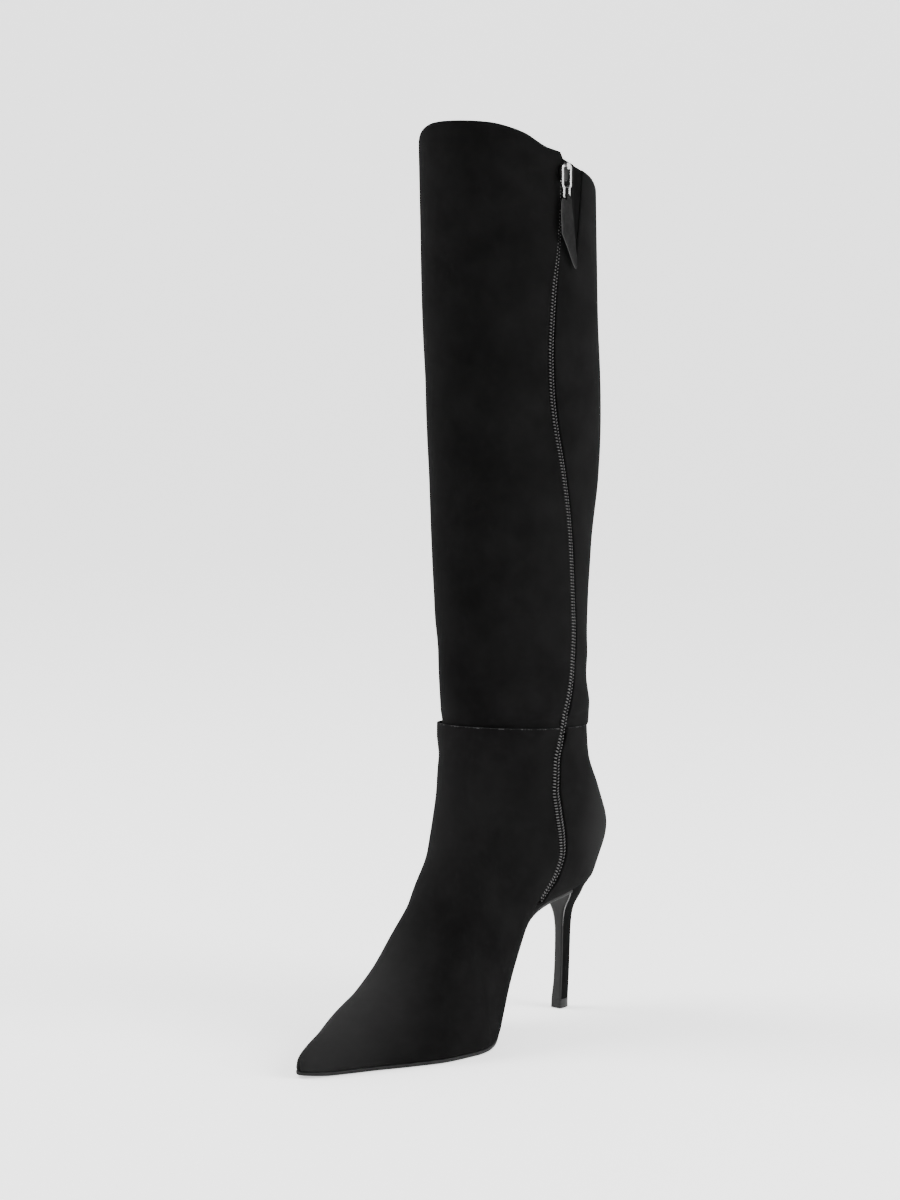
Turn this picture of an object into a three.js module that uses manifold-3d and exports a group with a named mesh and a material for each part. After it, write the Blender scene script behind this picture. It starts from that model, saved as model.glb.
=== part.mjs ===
// Knee-high boot with a stiletto heel, right foot, in millimetres.
// +Z is up, the toe points toward -Y and the inner side of the foot is toward +X.
// The origin is the centre of the face that the heel tip stands on.
// "Forward" means toward the toe, so a point's y is minus its forward distance.

import * as THREE from "three";
import { mergeVertices } from "three/addons/utils/BufferGeometryUtils.js";
import Module from "manifold-3d";

const wasm = await Module();
wasm.setup();

// Driving sizes of the last and the shaft
const toeReach = 230;
const heelHeight = 79;
const ballWidth = 78;
const seamHeight = 180;
const shaftHeight = 534;
const shaftWidth = 97;
const shaftDepth = 111;
const shaftTwist = THREE.MathUtils.degToRad(13.5);
const shaftForward = 47;
const seatWidth = 42;
const liftHeight = 5.5;

// Thicknesses and clearances
const wall = 1.8;
const soleThickness = 2.2;
const insoleThickness = 2.5;
const fit = 0.3;
const soleGap = 0.45;
const seamLap = 8;
const tuck = 9;

const reachAcross = 2 * ballWidth;
const soleInset = 0.5;
const breastThickness = 1;
const chainWidth = 6;
const chainThickness = 1.4;
const chainDepth = 0.4;
const tapeWidth = 22;
const tapeThickness = 0.8;
const slitClearance = 0.4;
const goreDepth = 0.6;

// The zip's slider and its pull, which hangs from a bar
const slider = { height: 11.2, width: 7.6, waist: 5.4, thickness: 2 };
const bar = 1.2;
const barPlay = 0.45;
const bridge = { width: 2.4, thickness: 0.9 };
const frameSize = { width: 8.2, height: 13 };
const eye = { width: 6, height: 7 };
const pivotDrop = 2.5;
const strap = { thickness: 1.4, play: 0.35, loopWall: 0.8 };

// Mesh density: sides of a ring and rings for each row of a table
const footMesh = { sides: 32, perRow: 2 };
const shaftMesh = { sides: 36, perRow: 1 };
const heelMesh = { sides: 16, perRow: 1 };
const featherSteps = 42;
const topSteps = 28;
const seamSteps = 8;
const breastSteps = 12;
const zipSteps = 40;
const zipSpare = 6;

// Turns rows of numbers into records with named columns
function table(columns, rows) {
  return rows.map((row) => Object.fromEntries(columns.map((name, i) => [name, row[i]])));
}

// A smooth curve through points, which never overshoots between them
function smoothCurve(xs, ys) {
  const last = xs.length - 1;
  const step = (i) => xs[i + 1] - xs[i];
  const rise = (i) => (ys[i + 1] - ys[i]) / step(i);
  const slopes = xs.map((_, i) => {
    if (i === 0) return rise(0);
    if (i === last) return rise(last - 1);
    if (rise(i - 1) * rise(i) <= 0) return 0;
    const before = 2 * step(i) + step(i - 1);
    const after = step(i) + 2 * step(i - 1);
    return (before + after) / (before / rise(i - 1) + after / rise(i));
  });
  return (x) => {
    let i = 0;
    while (i < last - 1 && x > xs[i + 1]) i += 1;
    const h = step(i);
    const t = THREE.MathUtils.clamp((x - xs[i]) / h, 0, 1);
    const start = ys[i] * (1 + 2 * t) * (1 - t) ** 2 + slopes[i] * h * t * (1 - t) ** 2;
    const end = ys[i + 1] * t * t * (3 - 2 * t) + slopes[i + 1] * h * t * t * (t - 1);
    return start + end;
  };
}

// A smooth curve through two columns of a table, each scaled by a named size
function profile(rows, xName, xSize, yName, ySize) {
  return smoothCurve(rows.map((row) => row[xName] * xSize), rows.map((row) => row[yName] * ySize));
}

// Records in between the rows of a table, so that a short table makes a smooth loft
function refine(rows, perRow) {
  const places = rows.map((_, i) => i);
  const columns = Object.keys(rows[0]);
  const curves = columns.map((name) => smoothCurve(places, rows.map((row) => row[name])));
  const count = (rows.length - 1) * perRow;
  return Array.from({ length: count + 1 }, (_, i) => {
    const place = i / perRow;
    return Object.fromEntries(columns.map((name, k) => [name, curves[k](place)]));
  });
}

// Manifold solids from three.js geometry, and back
function solidOf(geometry) {
  const bare = geometry.clone();
  bare.deleteAttribute("normal");
  bare.deleteAttribute("uv");
  const merged = mergeVertices(bare, 1e-5);
  return new wasm.Manifold(new wasm.Mesh({
    numProp: 3,
    vertProperties: new Float32Array(merged.attributes.position.array),
    triVerts: new Uint32Array(merged.index.array),
  }));
}

function geometryOf(solid) {
  const mesh = solid.getMesh();
  const geometry = new THREE.BufferGeometry();
  geometry.setAttribute("position", new THREE.BufferAttribute(new Float32Array(mesh.vertProperties), 3));
  geometry.setIndex(new THREE.BufferAttribute(new Uint32Array(mesh.triVerts), 1));
  geometry.computeVertexNormals();
  return geometry;
}

// A closed loft through rings of points, with flat ends
function loft(rings) {
  const sides = rings[0].length;
  const points = rings.flat();
  const faces = [];
  for (let ring = 0; ring < rings.length - 1; ring += 1) {
    for (let side = 0; side < sides; side += 1) {
      const next = (side + 1) % sides;
      const a = ring * sides + side;
      const b = ring * sides + next;
      faces.push(a, b + sides, b, a, a + sides, b + sides);
    }
  }
  const first = points.length;
  const final = first + 1;
  const middle = (ring) => ring.reduce((sum, p) => sum.add(p), new THREE.Vector3()).divideScalar(sides);
  points.push(middle(rings[0]), middle(rings[rings.length - 1]));
  const start = (rings.length - 1) * sides;
  for (let side = 0; side < sides; side += 1) {
    const next = (side + 1) % sides;
    faces.push(first, side, next, final, start + next, start + side);
  }
  const geometry = new THREE.BufferGeometry().setFromPoints(points);
  geometry.setIndex(faces);
  geometry.computeVertexNormals();
  return geometry;
}

// The same body with its surface moved inward along its normals
function inset(geometry, distance) {
  const moved = geometry.clone();
  const { position, normal } = moved.attributes;
  for (let i = 0; i < position.count; i += 1) {
    const point = new THREE.Vector3().fromBufferAttribute(position, i);
    const outward = new THREE.Vector3().fromBufferAttribute(normal, i);
    point.addScaledVector(outward, -distance);
    position.setXYZ(i, point.x, point.y, point.z);
  }
  return moved;
}

// A slab drawn in the side view, [forward, up] points, and run across the boot between two values of x
function sideSlab(points, from = -reachAcross, to = reachAcross, holes = []) {
  const outline = (list) => list.map(([forward, up]) => new THREE.Vector2(forward, up));
  const shape = new THREE.Shape(outline(points));
  shape.holes = holes.map((hole) => new THREE.Path(outline(hole)));
  const geometry = new THREE.ExtrudeGeometry(shape, { depth: to - from, bevelEnabled: false });
  const toSide = new THREE.Matrix4().set(
    0, 0, -1, to,
    -1, 0, 0, 0,
    0, 1, 0, 0,
    0, 0, 0, 1,
  );
  return solidOf(geometry.applyMatrix4(toSide));
}

// The same slab turned about the shaft's axis, to follow the way the shaft faces
function shaftSlab(points) {
  const turn = new THREE.Matrix4().makeTranslation(0, -shaftForward, 0)
    .multiply(new THREE.Matrix4().makeRotationZ(shaftTwist))
    .multiply(new THREE.Matrix4().makeTranslation(0, shaftForward, 0));
  return sideSlab(points).transform(turn.elements);
}

// A ring of a last: rounded above its widest line toward the ridge, squarer below it
function ringOf(row, sides) {
  const ring = [];
  for (let side = 0; side < sides; side += 1) {
    const angle = (2 * Math.PI * side) / sides;
    const up = Math.sin(angle) >= 0;
    const roundness = 2 / (up ? row.crown : row.base);
    const along = Math.abs(Math.sin(angle)) ** roundness;
    const across = Math.abs(Math.cos(angle)) ** roundness;
    const share = up ? row.widest + (1 - row.widest) * along : row.widest * (1 - along);
    const reach = Math.cos(angle) >= 0 ? row.inner - row.axis : -row.outer - row.axis;
    const forward = row.bottomForward + share * (row.ridgeForward - row.bottomForward);
    const height = row.bottomHeight + share * (row.ridgeHeight - row.bottomHeight);
    ring.push(new THREE.Vector3(row.axis + reach * across, -forward, height));
  }
  return ring;
}

// The feather line, where upper meets sole, seen from the side: forward as a share of toeReach,
// rise as a share of the way from the tread's top to the height of the heel seat
const featherRows = table(["forward", "rise"], [
  [-0.15, 1.104], [-0.091, 1.052], [-0.03, 1.006], [0.052, 0.961], [0.122, 0.941], [0.174, 0.919],
  [0.209, 0.896], [0.23, 0.857], [0.248, 0.805], [0.274, 0.707], [0.304, 0.603], [0.339, 0.492],
  [0.374, 0.362], [0.404, 0.206], [0.43, 0.089], [0.457, 0.031], [0.496, 0.008], [0.54, 0],
  [0.8, 0], [0.93, 0.003], [1, 0.02],
]);
const featherRise = profile(featherRows, "forward", toeReach, "rise", heelHeight - soleThickness);
const feather = (forward) => soleThickness + featherRise(forward);

// Sections of the foot part from the toe to above the ankle.
// Forward places are shares of toeReach, ridge heights of seamHeight, widths of ballWidth.
// climb is the share of the way up the back from seat to seam, or 0 along the sole.
const footRows = table(
  ["ridgeForward", "ridgeHeight", "bottomForward", "climb", "inner", "outer", "axis", "widest", "crown", "base"],
  [
    [0.998, 0.058, 0.998, 0, 0.045, -0.02, 0.032, 0.5, 2, 2.6],
    [0.993, 0.068, 0.993, 0, 0.075, 0.01, 0.032, 0.5, 2, 2.8],
    [0.978, 0.081, 0.98, 0, 0.11, 0.045, 0.033, 0.48, 2, 3],
    [0.945, 0.103, 0.95, 0, 0.16, 0.09, 0.035, 0.45, 2, 3.5],
    [0.88, 0.136, 0.9, 0, 0.225, 0.165, 0.038, 0.4, 2, 4],
    [0.787, 0.186, 0.83, 0, 0.31, 0.275, 0.042, 0.34, 2, 4.5],
    [0.683, 0.25, 0.74, 0, 0.432, 0.37, 0.046, 0.27, 2, 5],
    [0.607, 0.333, 0.63, 0, 0.53, 0.453, 0.048, 0.24, 2, 5],
    [0.54, 0.445, 0.51, 0, 0.555, 0.498, 0.05, 0.25, 2, 5],
    [0.478, 0.557, 0.395, 0, 0.49, 0.47, 0.045, 0.29, 2, 4],
    [0.443, 0.675, 0.25, 0, 0.41, 0.435, 0.035, 0.38, 2, 2.6],
    [0.443, 0.778, 0.1, 0, 0.41, 0.43, 0.02, 0.45, 2, 2],
    [0.439, 0.85, -0.022, 0, 0.41, 0.43, 0.01, 0.48, 2, 1.9],
    [0.434, 0.904, -0.114, 0.13, 0.445, 0.445, 0, 0.5, 2, 1.95],
    [0.429, 0.938, -0.134, 0.3, 0.462, 0.458, 0, 0.52, 2, 2],
    [0.426, 0.963, -0.1, 0.53, 0.46, 0.466, 0, 0.54, 2, 2],
    [0.423, 0.985, -0.054, 0.76, 0.462, 0.47, 0, 0.55, 2, 2],
    [0.42, 1.02, -0.041, 0.95, 0.474, 0.474, 0, 0.55, 2, 2],
    [0.418, 1.09, -0.037, 1.1, 0.474, 0.474, 0, 0.55, 2, 2],
  ],
);

// The seam between foot part and shaft, along the line that the shaft faces
const seamRows = table(["forward", "height"], [[-0.2, 0.972], [0.4, 0.998], [1, 1.03]]);
const seamLine = profile(seamRows, "forward", shaftDepth, "height", seamHeight);

// Sections of the shaft. Heights are shares of the way from seam to top, depths of shaftDepth, widths of shaftWidth.
const shaftRows = table(
  ["height", "back", "front", "half", "widest"],
  [
    [-0.073, -0.04, 0.83, 0.353, 0.54],
    [-0.02, -0.052, 0.837, 0.354, 0.54],
    [0.012, -0.092, 0.84, 0.358, 0.54],
    [0.032, -0.087, 0.842, 0.381, 0.53],
    [0.073, -0.072, 0.854, 0.386, 0.52],
    [0.141, -0.06, 0.868, 0.395, 0.51],
    [0.209, -0.058, 0.881, 0.41, 0.5],
    [0.278, -0.068, 0.89, 0.428, 0.5],
    [0.346, -0.086, 0.892, 0.449, 0.5],
    [0.415, -0.105, 0.892, 0.47, 0.5],
    [0.483, -0.108, 0.897, 0.488, 0.5],
    [0.561, -0.1, 0.906, 0.497, 0.5],
    [0.717, -0.069, 0.931, 0.499, 0.5],
    [0.863, -0.054, 0.944, 0.498, 0.5],
    [1.03, -0.037, 0.96, 0.498, 0.5],
  ],
);

// The top line of the shaft, along the line that the shaft faces
const topRows = table(["forward", "height"], [
  [-0.3, 0.905], [-0.05, 0.913], [0.19, 0.9268], [0.34, 0.94], [0.5, 0.951], [0.59, 0.958],
  [0.7, 0.969], [0.755, 0.978], [0.8, 0.9855], [0.86, 0.9925], [0.92, 0.998], [0.97, 1], [1.2, 1],
]);
const topLine = profile(topRows, "forward", shaftDepth, "height", shaftHeight);

// The share of the way up the back at which a section no longer starts under the sole
const leavesSole = 0.13;

function footBody() {
  const seat = heelHeight;
  const rings = refine(footRows, footMesh.perRow).map((row) => {
    const bottomForward = row.bottomForward * toeReach;
    const onSole = feather(bottomForward) - tuck;
    const upBack = seat + row.climb * (seamHeight - seat);
    const lift = THREE.MathUtils.smoothstep(row.climb, 0, leavesSole);
    return ringOf({
      ...row,
      ridgeForward: row.ridgeForward * toeReach,
      ridgeHeight: row.ridgeHeight * seamHeight,
      bottomForward,
      bottomHeight: THREE.MathUtils.lerp(onSole, upBack, lift),
      inner: row.inner * ballWidth,
      outer: row.outer * ballWidth,
      axis: row.axis * ballWidth,
    }, footMesh.sides);
  });
  return loft(rings);
}

function shaftBody() {
  const rings = refine(shaftRows, shaftMesh.perRow).map((row) => {
    const height = seamHeight + row.height * (shaftHeight - seamHeight);
    return ringOf({
      ridgeForward: row.front * shaftDepth,
      ridgeHeight: height,
      bottomForward: row.back * shaftDepth,
      bottomHeight: height,
      inner: row.half * shaftWidth,
      outer: row.half * shaftWidth,
      axis: 0,
      widest: row.widest,
      crown: 2,
      base: 2,
    }, shaftMesh.sides);
  });
  return loft(rings);
}

// Points along a height curve over a span of forward distances
function lineOver(curve, from, to, steps, raise = 0) {
  return Array.from({ length: steps + 1 }, (_, i) => {
    const forward = THREE.MathUtils.lerp(from, to, i / steps);
    return [forward, curve(forward) + raise];
  });
}

const footShape = footBody();
const shaftShape = shaftBody();
const back = -0.15 * toeReach;
const front = toeReach + tuck;

const aboveFeather = sideSlab([
  ...lineOver(feather, back, front, featherSteps),
  [front, seamHeight * 2],
  [back, seamHeight * 2],
]);
const belowSeam = shaftSlab([
  [back * 3, -tuck],
  [front * 2, -tuck],
  ...lineOver(seamLine, back * 3, front * 2, seamSteps).reverse(),
]);
const upperShell = solidOf(footShape).subtract(solidOf(inset(footShape, wall)))
  .intersect(aboveFeather).intersect(belowSeam);

const behindShaft = -0.4 * shaftDepth;
const beforeShaft = 1.3 * shaftDepth;
const belowTop = shaftSlab([
  ...lineOver(seamLine, behindShaft, beforeShaft, seamSteps, -seamLap),
  ...lineOver(topLine, behindShaft, beforeShaft, topSteps).reverse(),
]);
const footClearance = solidOf(footShape).subtract(solidOf(inset(footShape, wall + fit)))
  .intersect(belowSeam.translate([0, 0, fit]));
const shaftShell = solidOf(shaftShape).subtract(solidOf(inset(shaftShape, wall)))
  .intersect(belowTop).subtract(footClearance);

// Sections of the heel, heights as shares of heelHeight and the rest as shares of seatWidth
const heelRows = table(["height", "back", "front", "half"], [
  [-0.05, 0.124, 0.1, 0.088], [0.07, 0.13, 0.092, 0.086], [0.215, 0.162, 0.068, 0.076], [0.44, 0.19, 0.05, 0.076],
  [0.58, 0.2, 0.045, 0.078], [0.66, 0.212, 0.046, 0.084], [0.71, 0.22, 0.049, 0.095],
  [0.76, 0.233, 0.056, 0.118], [0.81, 0.25, 0.07, 0.162], [0.86, 0.27, 0.095, 0.232],
  [0.91, 0.29, 0.131, 0.3], [0.96, 0.325, 0.214, 0.36], [1.01, 0.4, 0.262, 0.42], [1.09, 0.5, 0.31, 0.46],
]);
const heelFront = profile(heelRows, "height", heelHeight, "front", seatWidth);

function heelBody() {
  const rings = refine(heelRows, heelMesh.perRow).map((row) => ringOf({
    ridgeForward: -row.back * seatWidth,
    ridgeHeight: row.height * heelHeight,
    bottomForward: row.front * seatWidth,
    bottomHeight: row.height * heelHeight,
    inner: row.half * seatWidth,
    outer: row.half * seatWidth,
    axis: 0,
    widest: 0.3,
    crown: 2.2,
    base: 7,
  }, heelMesh.sides));
  return loft(rings.reverse());
}

// Points up the heel's front, moved backward by a depth
function breastLine(depth, from, to) {
  return Array.from({ length: breastSteps + 1 }, (_, i) => {
    const height = THREE.MathUtils.lerp(from, to, i / breastSteps);
    return [heelFront(height) - depth, height];
  });
}

const breastTop = 0.96 * heelHeight;
const soleRear = heelFront(breastTop) - breastThickness + fit;
const seatTop = 1.15 * heelHeight;
const heelForm = solidOf(heelBody());
const behindBreast = sideSlab([
  ...breastLine(breastThickness + fit, liftHeight + fit, seatTop),
  [-seatWidth, seatTop],
  [-seatWidth, liftHeight + fit],
]);
const heelSolid = heelForm.intersect(behindBreast).subtract(aboveFeather.translate([0, 0, -soleGap]));

const breastBand = sideSlab([
  ...breastLine(breastThickness, liftHeight + fit, seatTop).reverse(),
  [seatWidth, liftHeight + fit],
  [seatWidth, seatTop],
]);
const breastSolid = heelForm.intersect(breastBand)
  .subtract(aboveFeather.translate([0, 0, -soleThickness - soleGap]));

const liftSolid = heelForm.intersect(sideSlab([
  [-seatWidth, 0], [seatWidth, 0], [seatWidth, liftHeight], [-seatWidth, liftHeight],
]));

const soleSolid = solidOf(inset(footShape, soleInset))
  .subtract(aboveFeather.translate([0, 0, -soleGap]))
  .intersect(sideSlab([
    [soleRear, heelHeight],
    [front, heelHeight],
    ...lineOver(feather, soleRear, front, featherSteps, -soleThickness).reverse(),
  ]));

const insoleSolid = solidOf(inset(footShape, wall + fit)).intersect(sideSlab([
  ...lineOver(feather, back, front, featherSteps),
  ...lineOver(feather, back, front, featherSteps, insoleThickness).reverse(),
]));

// The zip's path on the inner side, heights as shares of shaftHeight and forward places of shaftDepth
const zipRows = table(["height", "forward"], [
  [0.134, 0.48], [0.142, 0.445], [0.155, 0.393], [0.169, 0.342], [0.192, 0.311], [0.21, 0.328],
  [0.244, 0.38], [0.271, 0.412], [0.3, 0.41], [0.33, 0.366], [0.361, 0.33], [0.4, 0.29],
  [0.434, 0.288], [0.483, 0.32], [0.551, 0.38], [0.612, 0.452], [0.67, 0.53], [0.716, 0.564],
  [0.757, 0.574], [0.815, 0.562], [0.87, 0.534], [0.936, 0.518], [1.02, 0.518],
]);
const zipForward = profile(zipRows, "height", shaftHeight, "forward", shaftDepth);

const zipBottom = 0.142 * shaftHeight;
const zipTop = 0.9352 * shaftHeight;
const zipStep = (zipTop - zipBottom) / zipSteps;

// A point beside the zip's path in the side view
function besideZip(height, offset) {
  const reach = shaftHeight * 0.002;
  const slope = (zipForward(height + reach) - zipForward(height - reach)) / (2 * reach);
  const length = Math.hypot(1, slope);
  return [zipForward(height) + offset / length, height - (offset * slope) / length];
}

// A ribbon along the zip, from a distance below its end to some steps above its top
function zipRibbon(width, below, above) {
  const heights = [zipBottom - below];
  for (let i = 0; i <= zipSteps + above; i += 1) heights.push(zipBottom + i * zipStep);
  return sideSlab([
    ...heights.map((height) => besideZip(height, width / 2)),
    ...heights.map((height) => besideZip(height, -width / 2)).reverse(),
  ], 0, reachAcross);
}

// How far a body reaches toward the inner side at a place in the side view
function reachOf(geometry) {
  const { position } = geometry.attributes;
  const index = geometry.index.array;
  const corner = (i) => new THREE.Vector3().fromBufferAttribute(position, index[i]);
  const faces = Array.from({ length: index.length / 3 }, (_, face) => [0, 1, 2].map((k) => corner(3 * face + k)));
  return (forward, height) => {
    let reach = 0;
    for (const [a, b, c] of faces) {
      const area = (b.y - a.y) * (c.z - a.z) - (c.y - a.y) * (b.z - a.z);
      if (area === 0) continue;
      const u = ((-forward - a.y) * (c.z - a.z) - (c.y - a.y) * (height - a.z)) / area;
      const v = ((b.y - a.y) * (height - a.z) - (-forward - a.y) * (b.z - a.z)) / area;
      if (u < 0 || v < 0 || u + v > 1) continue;
      reach = Math.max(reach, a.x + u * (b.x - a.x) + v * (c.x - a.x));
    }
    return reach;
  };
}

const footReach = reachOf(footShape);
const shaftReach = reachOf(shaftShape);
const seamAtZip = seamLine(zipForward(seamHeight));
const outerReach = (forward, height) => (height < seamAtZip ? footReach : shaftReach)(forward, height);

// A strip along the zip between two depths under a surface, without its first steps
function zipStrip(width, columns, outer, inner, skipped, reachAt) {
  const rings = Array.from({ length: zipSteps + 1 - skipped }, (_, i) => {
    const height = zipBottom + (i + skipped) * zipStep;
    const face = (depth, k) => {
      const [forward, up] = besideZip(height, width * (k / columns - 0.5));
      return new THREE.Vector3(reachAt(forward, up) - depth, -forward, up);
    };
    const across = Array.from({ length: columns + 1 }, (_, k) => k);
    return [...across.map((k) => face(outer, k)), ...across.reverse().map((k) => face(inner, k))];
  });
  return solidOf(loft(rings));
}

// Heights above and below a place, by shares of the seam's lap
const heightsNear = (height, shares) => shares.map((share) => height + share * seamLap);

// The surface without its step at the seam
function evened(forward, height) {
  const reaches = heightsNear(height, [-1, -0.5, 0, 0.5, 1]).map((near) => outerReach(forward, near));
  return reaches.reduce((sum, reach) => sum + reach, 0) / reaches.length;
}

// The innermost surface around the seam, where foot part and shaft lap
function lowest(forward, height) {
  const near = heightsNear(height, [-1.5, -1, -0.5, 0, 0.5, 1, 1.5]);
  const reaches = near.flatMap((up) => [outerReach(forward, up), shaftReach(forward, up)]);
  return Math.min(...reaches.filter((reach) => reach > 0));
}

const chainSolid = zipStrip(chainWidth, 2, chainDepth, chainDepth + chainThickness, 0, evened);
const tapeDepth = wall + 3 * fit;
const tapeSolid = zipStrip(tapeWidth, 4, tapeDepth, tapeDepth + tapeThickness, 2, lowest);
const zipSlit = zipRibbon(chainWidth + 2 * slitClearance, slitClearance, zipSpare);

// The elastic V in the top line behind the zip, heights as shares of shaftHeight, forward places of shaftDepth
// shift and rise move a corner for each millimetre of clearance around the V.
const goreRows = table(["height", "forward", "shift", "rise"], [
  [1.02, 0.437, -1, 0], [0.843, 0.409, -0.6, 12.5], [1.02, 0.3, 1, 0],
]);
const goreNotch = (margin) => sideSlab(goreRows.map((row) => [
  row.forward * shaftDepth + row.shift * margin,
  row.height * shaftHeight + row.rise * margin,
]), 0, reachAcross);
const goreSolid = solidOf(inset(shaftShape, goreDepth)).subtract(solidOf(inset(shaftShape, wall)))
  .intersect(belowTop).intersect(goreNotch(fit));

// A box by its middle and its size across, forward and up
function block(x, forward, height, across, along, up) {
  const geometry = new THREE.BoxGeometry(across, along, up);
  return solidOf(geometry.translate(x, -forward, height));
}

// The slider lies on the shaft, its bridge holds the top bar of the pull
const sliderForward = zipForward(zipTop);
const sliderTop = zipTop + slider.height;
const pivotHeight = sliderTop - pivotDrop;
const sliderBase = fit + Math.max(...[-0.5, 0, 0.5].flatMap((share) => [
  shaftReach(sliderForward + share * slider.width, zipTop),
  shaftReach(sliderForward + share * slider.width, sliderTop),
]));
const pullBase = sliderBase + slider.thickness + fit;
const pivotReach = pullBase + bar / 2;
const bridgeReach = bar / 2 + barPlay + bridge.thickness;
const sliderPlate = sideSlab([
  [sliderForward + slider.waist / 2, zipTop],
  [sliderForward + slider.width / 2, sliderTop - slider.height / 3],
  [sliderForward + slider.waist / 2, sliderTop],
  [sliderForward - slider.waist / 2, sliderTop],
  [sliderForward - slider.width / 2, sliderTop - slider.height / 3],
  [sliderForward - slider.waist / 2, zipTop],
], sliderBase, sliderBase + slider.thickness);
const bridgeBlock = block(pivotReach, sliderForward, pivotHeight, 2 * bridgeReach, bridge.width, 2 * bridgeReach)
  .intersect(sideSlab([
    [0, 0], [shaftDepth, 0], [shaftDepth, shaftHeight], [0, shaftHeight],
  ], sliderBase + fit, reachAcross));
const bridgeHole = block(
  pivotReach, sliderForward, pivotHeight,
  bar + 2 * barPlay, slider.width, bar + 2 * barPlay,
);
const sliderSolid = sliderPlate.add(bridgeBlock).subtract(bridgeHole);

// A flat frame of one bar, its top at a height
function barFrame(size, top) {
  const middle = top - size.height / 2;
  const outer = block(pivotReach, sliderForward, middle, bar, size.width, size.height);
  const hole = block(pivotReach, sliderForward, middle, 2 * bar, size.width - 2 * bar, size.height - 2 * bar);
  return outer.subtract(hole);
}

const frameTop = pivotHeight + bar / 2;
const eyeTop = frameTop - frameSize.height + bar;
const eyeBottom = eyeTop - eye.height;
const pullSolid = barFrame(frameSize, frameTop).add(barFrame(eye, eyeTop));

// The leather strap hangs from the eye, its outline as shares of the eye's width and of the slider's height below it
const strapRows = table(["side", "drop"], [
  [0.7, 0], [0.7, 1], [0.6, 1.75], [-0.1, 2.4], [-1.15, 3.5], [-1.85, 3.85],
  [-1.8, 3.3], [-1.55, 2.5], [-1.2, 1.6], [-0.75, 0.4], [-0.7, 0],
]);
const loopHeight = bar + 2 * strap.play;
const loopSize = loopHeight + 2 * strap.loopWall;
const strapTop = eyeBottom - strap.play;
const strapTab = sideSlab(
  strapRows.map((row) => [sliderForward + row.side * eye.width, strapTop - row.drop * slider.height]),
  pivotReach - strap.thickness / 2,
  pivotReach + strap.thickness / 2,
);
const loopMiddle = eyeBottom + bar / 2;
const loopWidth = eye.width - 2 * bar - 2 * strap.play;
const strapLoop = block(pivotReach, sliderForward, loopMiddle, loopSize, loopWidth, loopSize)
  .subtract(block(pivotReach, sliderForward, loopMiddle, loopHeight, slider.width, loopHeight));
const strapSolid = strapTab.add(strapLoop);

const suede = { color: 0x161616, roughness: 0.95, metalness: 0 };
const soleLeather = { color: 0x202020, roughness: 0.4, metalness: 0 };
const insoleLeather = { color: 0x3a3430, roughness: 0.8, metalness: 0 };
const breastLeather = { color: 0x333333, roughness: 0.35, metalness: 0 };
const heelTip = { color: 0x3c3c3c, roughness: 0.6, metalness: 0 };
const coil = { color: 0x1c1c1c, roughness: 0.4, metalness: 0 };
const cloth = { color: 0x181818, roughness: 0.9, metalness: 0 };
const metal = { color: 0xc8c8cc, roughness: 0.25, metalness: 1 };

const boot = new THREE.Group();
function add(name, solid, look) {
  const material = new THREE.MeshStandardMaterial(look);
  const mesh = new THREE.Mesh(geometryOf(solid), material);
  mesh.name = name;
  boot.add(mesh);
}
add("upper", upperShell.subtract(zipSlit), suede);
add("shaft", shaftShell.subtract(zipSlit).subtract(goreNotch(0)), suede);
add("outsole", soleSolid, soleLeather);
add("insole", insoleSolid, insoleLeather);
add("heel", heelSolid, suede);
add("heel_breast", breastSolid, breastLeather);
add("top_lift", liftSolid, heelTip);
add("zip_chain", chainSolid, coil);
add("zip_tape", tapeSolid, cloth);
add("elastic_gore", goreSolid, cloth);
add("zip_slider", sliderSolid, metal);
add("zip_pull", pullSolid, metal);
add("pull_strap", strapSolid, suede);

export default boot;
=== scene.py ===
# The looks of the knee-high boot, right foot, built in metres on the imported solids.
# +Z is up, the toe points toward -Y and the inner side of the foot is toward +X.
# "Forward" means toward the toe, so a point's y is minus its forward distance.

import math

import bmesh
import bpy
import numpy as np
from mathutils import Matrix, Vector
from mathutils.bvhtree import BVHTree

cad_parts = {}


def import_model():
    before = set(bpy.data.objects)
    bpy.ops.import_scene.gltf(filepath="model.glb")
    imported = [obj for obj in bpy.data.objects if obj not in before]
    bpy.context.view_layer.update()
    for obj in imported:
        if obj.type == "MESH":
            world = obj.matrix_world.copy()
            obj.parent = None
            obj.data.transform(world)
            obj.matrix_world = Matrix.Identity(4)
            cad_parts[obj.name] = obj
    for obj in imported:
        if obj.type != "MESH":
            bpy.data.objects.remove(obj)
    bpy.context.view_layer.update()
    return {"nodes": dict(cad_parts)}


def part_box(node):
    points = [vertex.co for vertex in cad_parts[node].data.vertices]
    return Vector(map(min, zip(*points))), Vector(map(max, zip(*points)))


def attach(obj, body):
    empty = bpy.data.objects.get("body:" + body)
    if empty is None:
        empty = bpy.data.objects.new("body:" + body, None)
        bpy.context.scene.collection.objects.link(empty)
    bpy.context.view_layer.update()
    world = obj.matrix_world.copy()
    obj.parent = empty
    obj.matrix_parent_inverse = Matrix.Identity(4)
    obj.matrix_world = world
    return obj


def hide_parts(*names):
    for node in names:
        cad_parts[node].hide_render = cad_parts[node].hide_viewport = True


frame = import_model()

MM = 0.001
TINY = 1e-12
ON_CUT = 1e-9
ROUND = 2

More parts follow.
